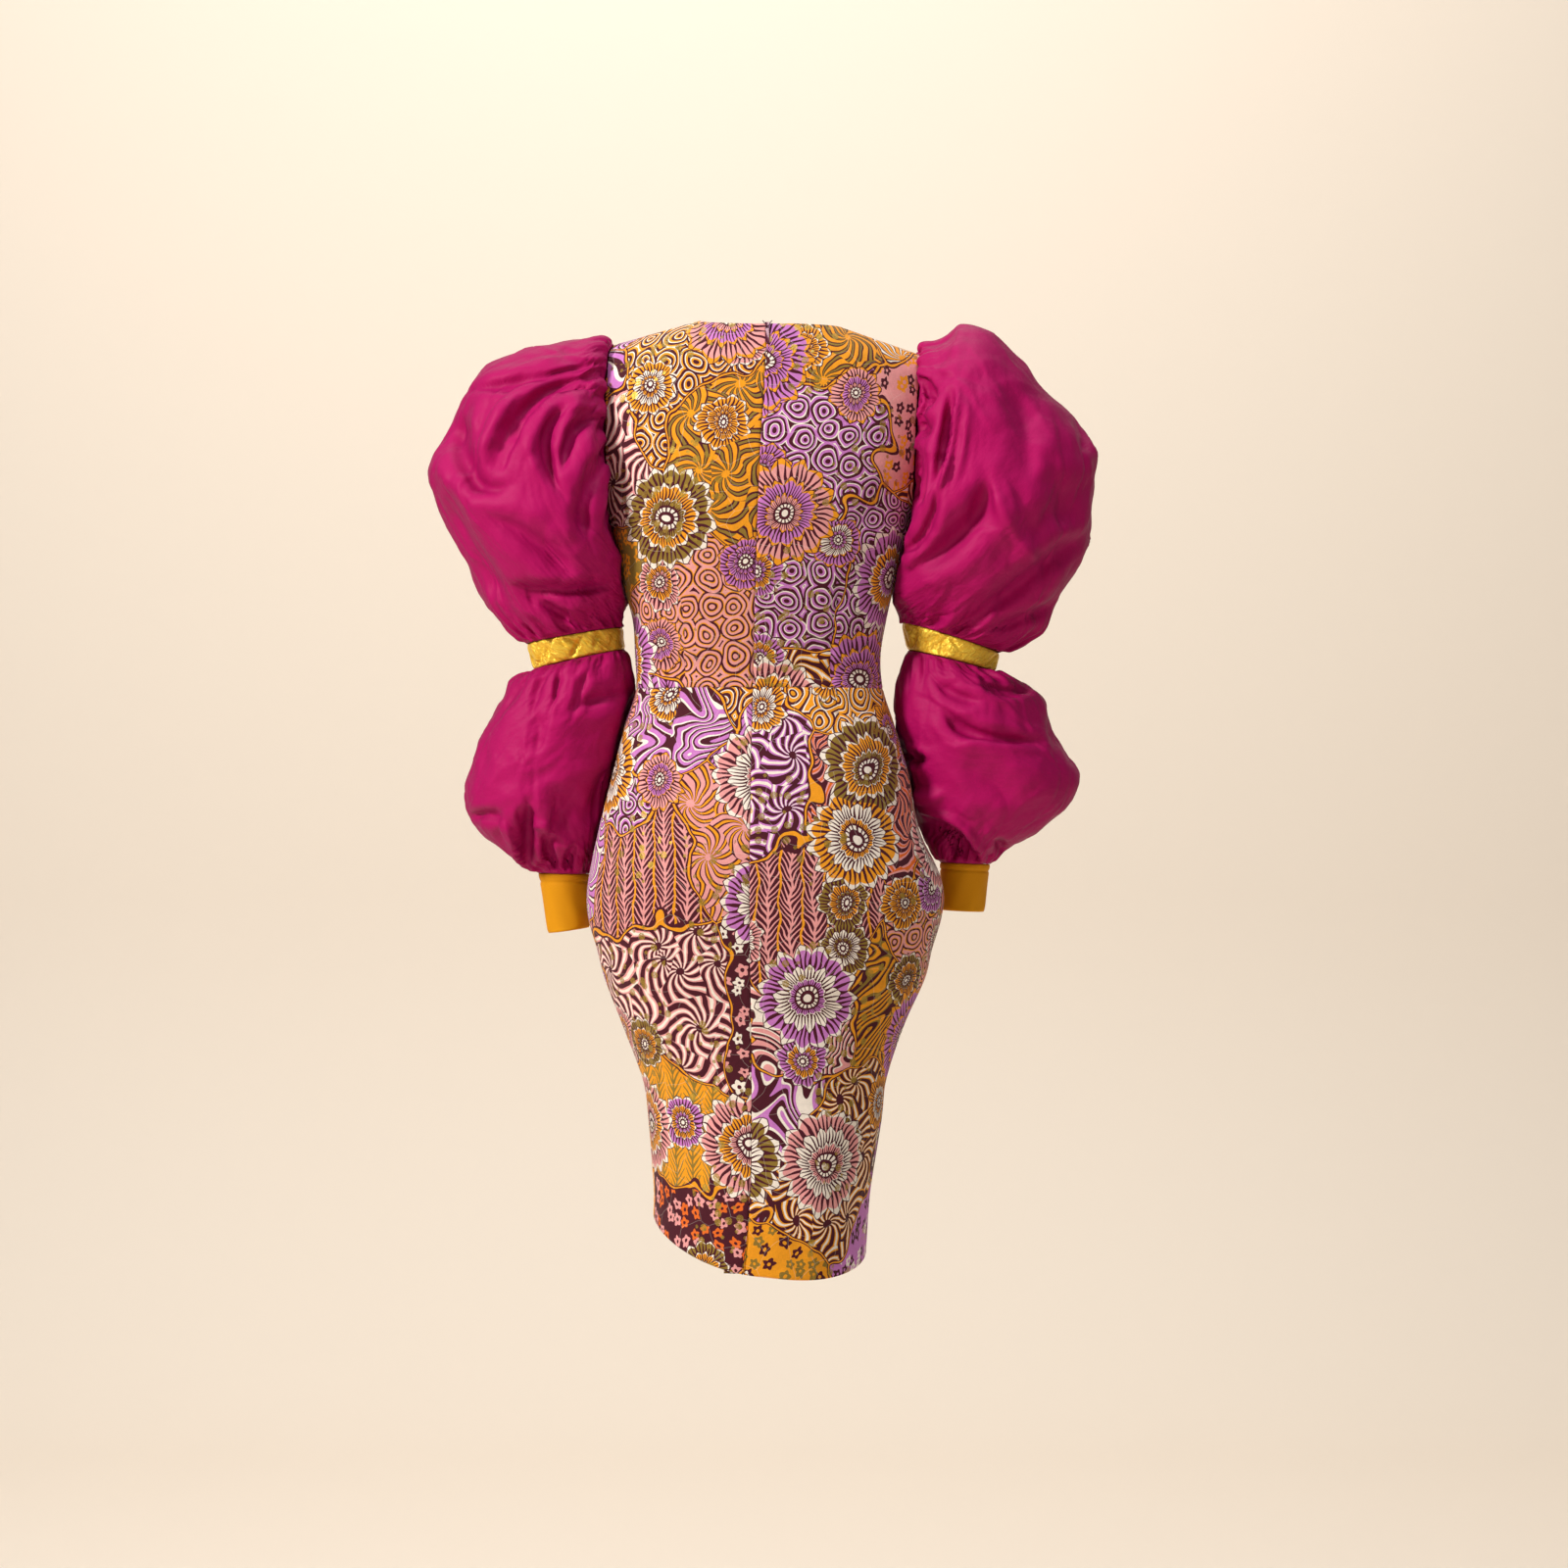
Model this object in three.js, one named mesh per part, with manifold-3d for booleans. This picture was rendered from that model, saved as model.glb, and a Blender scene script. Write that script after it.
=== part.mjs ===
// A knee-length fitted dress with double puff sleeves, standing in its worn, hollow form.
// Millimetres, +Z up. The front faces -Y and the dress's left side is +X. The origin lies
// between the two shoulder seams, where the dress is held up.

import * as THREE from 'three';
import { mergeVertices } from 'three/addons/utils/BufferGeometryUtils.js';
import Module from 'manifold-3d';

const wasm = await Module();
wasm.setup();

const { clamp, lerp, degToRad, smoothstep } = THREE.MathUtils;
const dress = new THREE.Group();

// Cloth and seams
const WALL = 1.5;
const SEAM_GAP = 0.3;
const HALF_GAP = SEAM_GAP / 2;
const RING_GAP = SEAM_GAP + 0.1;
const ARMHOLE_GAP = SEAM_GAP + 0.2;
const BACK = 1;
const FRONT = -1;

// Heights of the seams that run round the body
const WAIST_Z = -358;
const UNDERARM_Z = -198;
const VENT_TOP_Z = -815;

// A table's rows become objects with named columns.
function table(names, rows) {
  return rows.map((row) => Object.fromEntries(names.map((name, i) => [name, row[i]])));
}

// A smooth curve through one column of a table whose rows run down in z.
function columnAt(rows, name, z) {
  let i = 0;
  while (i < rows.length - 2 && z < rows[i + 1].z) i += 1;
  const [before, from, to, after] = [i - 1, i, i + 1, i + 2]
    .map((k) => rows[clamp(k, 0, rows.length - 1)]);
  const slope = (p, q) => (q[name] - p[name]) / (q.z - p.z);
  const span = to.z - from.z;
  const t = clamp((z - from.z) / span, 0, 1);
  const start = slope(before, to) * span;
  const end = slope(from, after) * span;
  const rise = 3 * t * t - 2 * t * t * t;
  return lerp(from[name], to[name], rise)
    + start * t * (1 - t) * (1 - t) - end * t * t * (1 - t);
}

// The body of the dress, as level sections: how far each reaches to the left, to the
// right, in front and behind.
const ROUNDNESS = 2.4;
const BODY = table(['z', 'left', 'right', 'front', 'back'], [
  [-7, 150, 156, 60, 66],
  [-20, 160, 165, 70, 76],
  [-60, 172, 171, 86, 90],
  [-110, 171, 169, 100, 103],
  [-165, 162, 160, 112, 106],
  [-198, 153, 151, 114, 103],
  [-255, 140, 135, 104, 93],
  [-290, 131, 127, 96, 84],
  [-325, 129, 121.5, 90, 76],
  [-358, 128, 124, 88, 72],
  [-393, 139, 135, 97, 86],
  [-445, 152, 150, 106, 106],
  [-502, 166, 161, 110, 123],
  [-545, 175, 181, 110, 128],
  [-569, 178, 186, 109, 127],
  [-593, 176, 183, 109, 125],
  [-623, 167.5, 174, 108, 122],
  [-652, 160, 167, 108, 118],
  [-699, 142, 146, 108, 113],
  [-757, 120.5, 127, 110, 112],
  [-793, 115.5, 123, 113, 114],
  [-865, 110, 111.5, 124, 124],
  [-893, 110, 109, 128, 127],
  [-960, 110, 105, 133, 131],
]);
const BUST = { out: 75, z: -160, rise: 12, wide: 46, tall: 48 };

// Where the centre back seam runs, from the neck to the hem
const CENTRE_BACK = table(['z', 'x'], [
  [8, -7],
  [-155, 2],
  [-358, 8],
  [-560, 11],
  [-757, 9],
  [-850, 10],
  [-945, 18],
]);

function reach(name, z) {
  return columnAt(BODY, name, z);
}

// A body point by its turn round the figure: 0 behind, a quarter on the left side.
function bodyPoint(turn, z) {
  const power = 2 / ROUNDNESS;
  const across = Math.sin(turn);
  const along = Math.cos(turn);
  const half = reach(across >= 0 ? 'left' : 'right', z);
  const depth = reach(along >= 0 ? 'back' : 'front', z);
  const x = Math.sign(across) * half * Math.abs(across) ** power;
  const y = Math.sign(along) * depth * Math.abs(along) ** power;
  return new THREE.Vector3(x, y - bust(x, z, along), z);
}

function bust(x, z, along) {
  if (along >= 0) return 0;
  const across = (Math.abs(x) - BUST.out) / BUST.wide;
  const up = (z - BUST.z) / BUST.tall;
  return BUST.rise * Math.exp(-across * across - up * up) * Math.min(1, -along * 3);
}

// The depth of the body at a place, in front or behind
function bodyDepth(x, z, face) {
  const half = reach(x >= 0 ? 'left' : 'right', z);
  const share = clamp(1 - (Math.abs(x) / half) ** ROUNDNESS, 0, 1) ** (1 / ROUNDNESS);
  const depth = reach(face === BACK ? 'back' : 'front', z) * share;
  return face * (depth + (face === FRONT ? bust(x, z, -share) : 0));
}

// The way out of the body, the same on both sides of every seam
function outward(point, lift) {
  const half = reach(point.x >= 0 ? 'left' : 'right', point.z);
  const depth = reach(point.y >= 0 ? 'back' : 'front', point.z);
  const steep = ROUNDNESS - 1;
  const way = new THREE.Vector3(
    Math.sign(point.x) * (Math.abs(point.x) / half) ** steep / half,
    Math.sign(point.y) * (Math.abs(point.y) / depth) ** steep / depth,
    0,
  ).normalize();
  return way.multiplyScalar(1 - lift).add(new THREE.Vector3(0, 0, lift)).normalize();
}

// One closed wall of cloth from a grid of outer points. A tube's columns close on
// themselves. Each way gives the outward direction at its point.
function clothWall(outer, ways, isTube) {
  const rows = outer.length;
  const columns = outer[0].length;
  const points = outer.flat();
  const inner = points.map((p, i) => p.clone().addScaledVector(ways.flat()[i], -WALL));
  const at = (layer, r, c) => (layer * rows + r) * columns + (c % columns);
  const faces = [];
  const quad = (a, b, c, d) => faces.push(a, b, c, a, c, d);
  const lastColumn = isTube ? columns : columns - 1;
  for (let c = 0; c < lastColumn; c += 1) {
    for (let r = 0; r < rows - 1; r += 1) {
      quad(at(0, r, c), at(0, r + 1, c), at(0, r + 1, c + 1), at(0, r, c + 1));
      quad(at(1, r, c), at(1, r, c + 1), at(1, r + 1, c + 1), at(1, r + 1, c));
    }
    quad(at(0, 0, c), at(0, 0, c + 1), at(1, 0, c + 1), at(1, 0, c));
    const end = rows - 1;
    quad(at(0, end, c), at(1, end, c), at(1, end, c + 1), at(0, end, c + 1));
  }
  if (!isTube) {
    for (let r = 0; r < rows - 1; r += 1) {
      const side = columns - 1;
      quad(at(0, r, 0), at(1, r, 0), at(1, r + 1, 0), at(0, r + 1, 0));
      quad(at(0, r, side), at(0, r + 1, side), at(1, r + 1, side), at(1, r, side));
    }
  }
  const all = [...points, ...inner];
  if (volumeOf(all, faces) < 0) faces.reverse();
  const geometry = new THREE.BufferGeometry().setFromPoints(all);
  geometry.setIndex(faces);
  return geometry;
}

function volumeOf(points, faces) {
  let six = 0;
  for (let i = 0; i < faces.length; i += 3) {
    const [a, b, c] = [0, 1, 2].map((k) => points[faces[i + k]]);
    six += a.dot(b.clone().cross(c));
  }
  return six;
}

// The outward direction at each point of a tube, from its neighbours. At an end, the wall
// is kept from leaning over the seam to the next piece.
function tubeWays(grid, middles) {
  const columns = grid[0].length;
  const last = grid.length - 1;
  return grid.map((ring, r) => ring.map((point, c) => {
    const up = grid[Math.max(0, r - 1)][c];
    const down = grid[Math.min(last, r + 1)][c];
    const round = ring[(c + 1) % columns].clone().sub(ring[(c + columns - 1) % columns]);
    const way = down.clone().sub(up).cross(round).normalize();
    if (r > 0 && r < last) {
      return way.dot(point.clone().sub(middles[r])) < 0 ? way.negate() : way;
    }
    const next = r === 0 ? 1 : last - 1;
    const beside = grid[next][c].clone().sub(middles[next]).normalize();
    const outOfEnd = middles[r].clone().sub(middles[next]).normalize();
    if (way.dot(beside.add(outOfEnd)) < 0) way.negate();
    const axis = ringAxis(ring, middles[r]);
    if (axis.dot(outOfEnd) < 0) axis.negate();
    return way.addScaledVector(axis, Math.max(0, -way.dot(axis))).normalize();
  }));
}

function ringAxis(ring, middle) {
  const first = ring[0].clone().sub(middle);
  const quarterOn = ring[Math.round(ring.length / 4)].clone().sub(middle);
  return first.cross(quarterOn).normalize();
}

const FINISHES = {
  print: { color: 0x8a4a3c, roughness: 0.85, metalness: 0 },
  taffeta: { color: 0xa8125f, roughness: 0.6, metalness: 0 },
  lame: { color: 0xd9a521, roughness: 0.35, metalness: 0.7 },
  amber: { color: 0xe09a12, roughness: 0.8, metalness: 0 },
  zip: { color: 0x5a1030, roughness: 0.3, metalness: 0.4 },
};

function add(name, geometry, finish, parent = dress) {
  const mesh = new THREE.Mesh(geometry, new THREE.MeshStandardMaterial(FINISHES[finish]));
  mesh.name = name;
  parent.add(mesh);
  return mesh;
}

// Neckline, shoulder seams and armholes of the bodice
const NECK = { backX: -7, backY: 62, backZ: 8, frontX: 0, frontY: 72, frontZ: -62 };
const SHOULDERS = {
  left: { side: 1, neckX: 62, neckZ: 17, tipX: 150, tipZ: -7 },
  right: { side: -1, neckX: 78, neckZ: 10, tipX: 156, tipZ: -18 },
};
const SHOULDER_ROLL = 75;
const ROLL_Z = -60;
const ARMHOLE = { back: 50, front: 52, frontCut: 12 };
const NECK_SHARE = 0.5;

// The top edge of a panel, from the centre (0) past the neck point to the shoulder tip (1)
function topEdge(shoulder, face, share) {
  const { side, neckX, neckZ, tipX, tipZ } = shoulder;
  const isBack = face === BACK;
  if (share < NECK_SHARE) {
    const turn = (share / NECK_SHARE) * (Math.PI / 2);
    const centreX = isBack ? NECK.backX : NECK.frontX;
    const centreZ = isBack ? NECK.backZ : NECK.frontZ;
    const depth = (isBack ? NECK.backY : NECK.frontY) * Math.cos(turn);
    return new THREE.Vector3(
      lerp(centreX, side * neckX, Math.sin(turn)),
      face * Math.max(HALF_GAP, depth),
      lerp(neckZ, centreZ, Math.cos(turn)),
    );
  }
  const down = (share - NECK_SHARE) / (1 - NECK_SHARE);
  return new THREE.Vector3(
    side * lerp(neckX, tipX, down),
    face * HALF_GAP,
    lerp(neckZ, tipZ, down),
  );
}

// The armhole by its turn: 0 at the shoulder tip, a quarter behind, a half underarm
function armholePoint(shoulder, turn) {
  const middleZ = (shoulder.tipZ + UNDERARM_Z) / 2;
  const z = middleZ + (shoulder.tipZ - middleZ) * Math.cos(turn);
  const isBack = Math.sin(turn) >= 0;
  const y = Math.sin(turn) * (isBack ? ARMHOLE.back : ARMHOLE.front);
  const depth = reach(isBack ? 'back' : 'front', z);
  const share = (1 - (Math.abs(y) / depth) ** ROUNDNESS) ** (1 / ROUNDNESS);
  const half = reach(shoulder.side > 0 ? 'left' : 'right', z) * share;
  const cut = isBack ? 0 : ARMHOLE.frontCut * Math.sin(turn) ** 2;
  return new THREE.Vector3(shoulder.side * (half - cut), y, z);
}

const SIDE_ROWS = 4;
const ARMHOLE_ROWS = 8;

// A point of a bodice panel and its outward way. Share runs from the centre to the side
// seam and armhole, and row from the waist to the neckline and shoulder.
function bodicePoint(shoulder, face, share, row) {
  const { side } = shoulder;
  const top = topEdge(shoulder, face, share);
  const tip = topEdge(shoulder, face, 1);
  const centre = topEdge(shoulder, face, 0);
  const bottom = WAIST_Z + HALF_GAP;
  const climb = clamp((row - SIDE_ROWS) / ARMHOLE_ROWS, 0, 1);
  const curved = (1 - Math.cos(Math.PI * climb)) / 2;
  const raised = lerp(climb, curved, share * share);
  const z = row <= SIDE_ROWS
    ? lerp(bottom, UNDERARM_Z, row / SIDE_ROWS)
    : lerp(UNDERARM_Z, top.z, raised);
  const turn = Math.PI * (1 - climb) * face;
  const edge = row > SIDE_ROWS
    ? armholePoint(shoulder, turn)
    : bodyPoint(side * Math.PI / 2, z);
  const centreX = face === BACK ? columnAt(CENTRE_BACK, 'x', z) : 0;
  const roundShare = Math.sin(share * Math.PI / 2) ** (2 / ROUNDNESS);
  const topShare = (top.x - centre.x) / (tip.x - centre.x);
  const across = lerp(roundShare, topShare, climb * climb);
  const x = lerp(centreX, edge.x, across);
  const drop = clamp((top.z - z) / SHOULDER_ROLL, 0, 1);
  const atShoulder = Math.sqrt(1 - (1 - drop) ** 2);
  const atNeck = Math.sin(drop * Math.PI / 2);
  const roll = lerp(atNeck, atShoulder, clamp(share / NECK_SHARE, 0, 1));
  const low = Math.min(z, ROLL_Z);
  const shaped = (px) => lerp(top.y, bodyDepth(px, low, face), roll);
  const fade = share ** 4;
  const slip = row > SIDE_ROWS ? (edge.y - shaped(edge.x)) * fade : 0;
  const point = new THREE.Vector3(x, shaped(x) + slip, z);
  if (row === SIDE_ROWS + ARMHOLE_ROWS) point.copy(top);
  if (share === 0 && face === BACK) point.x += side * HALF_GAP;
  if (share === 1) point.y = face * Math.max(HALF_GAP, face * point.y);
  const lean = 1 - 0.5 * clamp(Math.abs(point.y) / NECK.backY, 0, 1);
  return { point, way: outward(point, (1 - drop) * lean) };
}

function panelFrom(columns, rows, makePoint) {
  const cells = rows.map((row) => columns.map((column) => makePoint(column, row)));
  const outer = cells.map((line) => line.map((cell) => cell.point));
  const ways = cells.map((line) => line.map((cell) => cell.way));
  return clothWall(outer, ways, false);
}

const steps = (n) => Array.from({ length: n + 1 }, (_, i) => i / n);
const BACK_COLUMNS = 8;
const FRONT_COLUMNS = 10;
const bodiceRows = Array.from({ length: SIDE_ROWS + ARMHOLE_ROWS + 1 }, (_, i) => i);

// Bodice: one front and two backs, joined at the shoulders, the sides and the waist
for (const name of ['left', 'right']) {
  const cloth = panelFrom(steps(BACK_COLUMNS), bodiceRows,
    (share, row) => bodicePoint(SHOULDERS[name], BACK, share, row));
  add(`bodice_back_${name}`, cloth, 'print');
}
const frontShares = steps(2 * FRONT_COLUMNS).map((t) => 1 - 2 * t);
add('bodice_front', panelFrom(frontShares, bodiceRows, (share, row) => {
  const shoulder = share >= 0 ? SHOULDERS.left : SHOULDERS.right;
  return bodicePoint(shoulder, FRONT, Math.abs(share), row);
}), 'print');

// Skirt: one front and two backs that part below the vent's top. The hem dips behind and
// on the right.
const HEM = { z: -919.5, behind: -14.5, left: 19.5, quarters: -7 };
const VENT_SPREAD = 1;
const SKIRT_ROWS = 13;
const quarter = Math.PI / 2;

function hemZ(turn) {
  return HEM.z + HEM.behind * Math.cos(turn) + HEM.left * Math.sin(turn)
    + HEM.quarters * Math.cos(2 * turn);
}

// The turn at which the centre back seam lies at a height
function centreTurn(z) {
  const x = columnAt(CENTRE_BACK, 'x', z);
  const share = (Math.abs(x) / reach(x >= 0 ? 'left' : 'right', z)) ** (ROUNDNESS / 2);
  return Math.sign(x) * Math.asin(share);
}

function skirtPoint(turn, down) {
  const z = lerp(WAIST_Z - HALF_GAP, hemZ(turn), down);
  const point = bodyPoint(turn, z);
  return { point, way: outward(point, 0) };
}

for (const name of ['left', 'right']) {
  const { side } = SHOULDERS[name];
  add(`skirt_back_${name}`, panelFrom(steps(BACK_COLUMNS), steps(SKIRT_ROWS), (share, down) => {
    const z = lerp(WAIST_Z, hemZ(0), down);
    const cell = skirtPoint(lerp(centreTurn(z), side * quarter, share), down);
    const parted = VENT_SPREAD * Math.max(0, VENT_TOP_Z - z) / (VENT_TOP_Z - hemZ(0));
    if (share === 0) cell.point.x += side * (HALF_GAP + parted);
    if (share === 1) cell.point.y = HALF_GAP;
    return cell;
  }), 'print');
}
add('skirt_front', panelFrom(steps(2 * FRONT_COLUMNS), steps(SKIRT_ROWS), (share, down) => {
  const cell = skirtPoint(lerp(quarter, 3 * quarter, share), down);
  if (share === 0 || share === 1) cell.point.y = -HALF_GAP;
  return cell;
}), 'print');

// Vent underlap: a strip under both back edges, from above the vent's top to the hem
const UNDERLAP = { half: 20, above: 12, short: 3, gap: 1, columns: 4, rows: 4 };
add('vent_underlap', panelFrom(steps(UNDERLAP.columns), steps(UNDERLAP.rows), (share, down) => {
  const z = lerp(VENT_TOP_Z + UNDERLAP.above, hemZ(0) + UNDERLAP.short, down);
  const x = columnAt(CENTRE_BACK, 'x', z) + UNDERLAP.half * (2 * share - 1);
  const point = new THREE.Vector3(x, bodyDepth(x, z, BACK), z);
  const way = outward(point, 0);
  point.addScaledVector(way, -WALL - UNDERLAP.gap);
  return { point, way };
}), 'print');

// Sleeves. Each ring gives its outermost point and its innermost one, as distances from
// the middle of the dress, and how far it reaches in front and behind.
const RING = ['outX', 'outZ', 'inX', 'inZ', 'front', 'back'];
const SLEEVES = {
  left: {
    upper: table(RING, [
      [163, 2, 156, -203, 64, 64],
      [182, 0, 150, -220, 82, 86],
      [215, -5, 141, -236, 95, 100],
      [250, -15, 137, -246, 104, 108],
      [285, -34, 135, -253, 108, 112],
      [306, -66, 134, -258, 110, 113],
      [325, -105, 134, -262, 108, 112],
      [339, -138, 135, -266, 104, 108],
      [330, -172, 136, -270, 98, 102],
      [316, -204, 138, -275, 90, 94],
      [298, -236, 140, -280, 80, 84],
      [284, -266, 141, -286, 68, 70],
      [262, -293, 142, -291, 55, 56],
    ]),
    band: table(RING, [
      [240, -312, 142, -295, 44, 44],
      [236, -326, 142, -307, 43.5, 43.5],
      [233, -338, 140, -317, 43, 43],
    ]),
    lower: table(RING, [
      [254, -348, 132, -330, 58, 60],
      [266, -368, 129, -356, 66, 70],
      [282, -395, 132, -385, 72, 76],
      [296, -428, 139, -418, 76, 80],
      [305, -462, 147, -452, 78, 81],
      [303, -488, 155, -485, 74, 76],
      [286, -508, 163, -510, 62, 64],
      [262, -527, 170, -530, 46, 47],
    ]),
    cuff: table(RING, [
      [231, -547, 178, -548, 29, 29],
      [226, -577, 178, -575, 28.5, 28.5],
      [221, -609, 178, -603, 28, 28],
    ]),
    folds: table(['fromRing', 'fromTurn', 'toRing', 'toTurn', 'wide', 'deep'], [
      [1, 34, 8, 66, 9, 9],
      [1, 62, 6, 108, 9, 6],
      [9, 70, 13, 98, 10, 5],
      [2, -40, 8, -70, 10, 8],
      [5, -105, 12, -92, 11, 6],
    ]),
    lowerFolds: table(['fromRing', 'fromTurn', 'toRing', 'toTurn', 'wide', 'deep'], [
      [4, 70, 9, 92, 12, 6],
      [5, 108, 9, 112, 11, 5],
      [3, -80, 9, -95, 13, 6],
    ]),
  },
  right: {
    upper: table(RING, [
      [164, -8, 154, -205, 64, 64],
      [184, 0, 148, -222, 82, 86],
      [206, 13, 139, -234, 98, 102],
      [234, 7, 135, -244, 106, 110],
      [262, -22, 133, -251, 110, 114],
      [292, -57, 132, -257, 111, 115],
      [324, -84, 132, -262, 110, 114],
      [341, -120, 133, -266, 107, 111],
      [337, -160, 134, -270, 102, 106],
      [335, -200, 136, -274, 94, 98],
      [322, -235, 138, -278, 84, 88],
      [300, -268, 140, -282, 72, 75],
      [284, -300, 142, -286, 58, 60],
    ]),
    band: table(RING, [
      [243, -321, 144, -290, 44, 44],
      [241, -331, 147, -304, 43.5, 43.5],
      [239, -340, 150, -318, 43, 43],
    ]),
    lower: table(RING, [
      [266, -352, 141, -342, 60, 62],
      [288, -368, 136, -366, 70, 73],
      [297, -396, 137, -394, 76, 80],
      [312, -422, 140, -422, 80, 84],
      [327, -447, 144, -450, 82, 85],
      [318, -474, 152, -478, 76, 78],
      [288, -502, 164, -502, 62, 64],
      [256, -520, 175, -520, 44, 46],
    ]),
    cuff: table(RING, [
      [236, -538, 184, -536, 29, 29],
      [233, -562, 185, -560, 28.5, 28.5],
      [230, -587, 185, -585, 28, 28],
    ]),
    folds: table(['fromRing', 'fromTurn', 'toRing', 'toTurn', 'wide', 'deep'], [
      [1, 70, 5, 80, 10, 7],
      [6, 28, 9, 12, 9, 7],
      [8, 84, 13, 70, 11, 5],
      [2, -45, 9, -72, 10, 8],
      [6, -110, 12, -95, 11, 6],
    ]),
    lowerFolds: table(['fromRing', 'fromTurn', 'toRing', 'toTurn', 'wide', 'deep'], [
      [5, 44, 8, 84, 12, 7],
      [1, 118, 5, 102, 12, 4],
      [3, -80, 9, -95, 13, 6],
    ]),
  },
};

// The arms hang a little forward: the sleeve's middle by height
const SLEEVE_Y = table(['z', 'y'], [
  [0, 0],
  [-100, -1],
  [-200, -5],
  [-320, -14],
  [-440, -32],
  [-560, -49],
  [-620, -52],
]);
const BODY_CLEARANCE = 3;
const UPPER_COLUMNS = 48;
const LOWER_COLUMNS = 36;
const BAND_COLUMNS = 24;
const HEAD_CROWDING = 0.35;
const GATHER_DEPTH = 3.2;
const GATHER_FADE = 0.6;

// A sleeve point is moved out where it would lie in the body of the dress.
function clearOfBody(point) {
  if (point.z > UNDERARM_Z) return point;
  const half = reach(point.x >= 0 ? 'left' : 'right', point.z) + BODY_CLEARANCE;
  const depth = reach(point.y >= 0 ? 'back' : 'front', point.z) + BODY_CLEARANCE;
  const away = ((Math.abs(point.x) / half) ** ROUNDNESS
    + (Math.abs(point.y) / depth) ** ROUNDNESS) ** (1 / ROUNDNESS);
  if (away < 1) {
    point.x /= away;
    point.y /= away;
  }
  return point;
}

function ringMiddle(side, ring) {
  const z = (ring.outZ + ring.inZ) / 2;
  return new THREE.Vector3(side * (ring.outX + ring.inX) / 2, columnAt(SLEEVE_Y, 'y', z), z);
}

// A ring's point by its turn: 0 outermost, a quarter behind. Push moves it off the middle.
function ringPoint(side, ring, turn, push) {
  const middle = ringMiddle(side, ring);
  const half = new THREE.Vector3(side * ring.outX, 0, ring.outZ)
    .sub(new THREE.Vector3(side * ring.inX, 0, ring.inZ))
    .multiplyScalar(0.5);
  const depth = Math.sin(turn) >= 0 ? ring.back : ring.front;
  const spoke = half.multiplyScalar(Math.cos(turn));
  spoke.y = depth * Math.sin(turn);
  const grown = spoke.clone().setLength(spoke.length() + push);
  return clearOfBody(middle.add(grown));
}

// How far the folds of a sleeve draw its cloth in at a ring and a turn
function foldDepth(folds, ring, turn) {
  let depth = 0;
  for (const fold of folds) {
    const along = (ring - fold.fromRing) / (fold.toRing - fold.fromRing);
    const ends = smoothstep(along, -0.15, 0.25) * smoothstep(1 - along, -0.15, 0.25);
    const line = degToRad(lerp(fold.fromTurn, fold.toTurn, along));
    const off = Math.atan2(Math.sin(turn - line), Math.cos(turn - line));
    depth += fold.deep * ends * Math.exp(-((off / degToRad(fold.wide)) ** 2));
  }
  return depth;
}

// Gathers alternate from column to column. They are deepest beside the two seams.
function gatherDepth(column, ring, last) {
  if (ring === 0 || ring === last) return 0;
  const uneven = 0.75 + 0.25 * Math.sin(2.4 * column);
  const fade = GATHER_FADE ** (ring - 1) + GATHER_FADE ** (last - 1 - ring);
  return (column % 2 ? 1 : -1) * GATHER_DEPTH * uneven * fade;
}

// A seam ring lies a gap away from the piece that it is sewn to.
function besideRing(side, ring, toward) {
  const step = ringMiddle(side, toward).sub(ringMiddle(side, ring)).setLength(RING_GAP);
  return {
    ...ring,
    outX: ring.outX + side * step.x,
    inX: ring.inX + side * step.x,
    outZ: ring.outZ + step.z,
    inZ: ring.inZ + step.z,
  };
}

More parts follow.
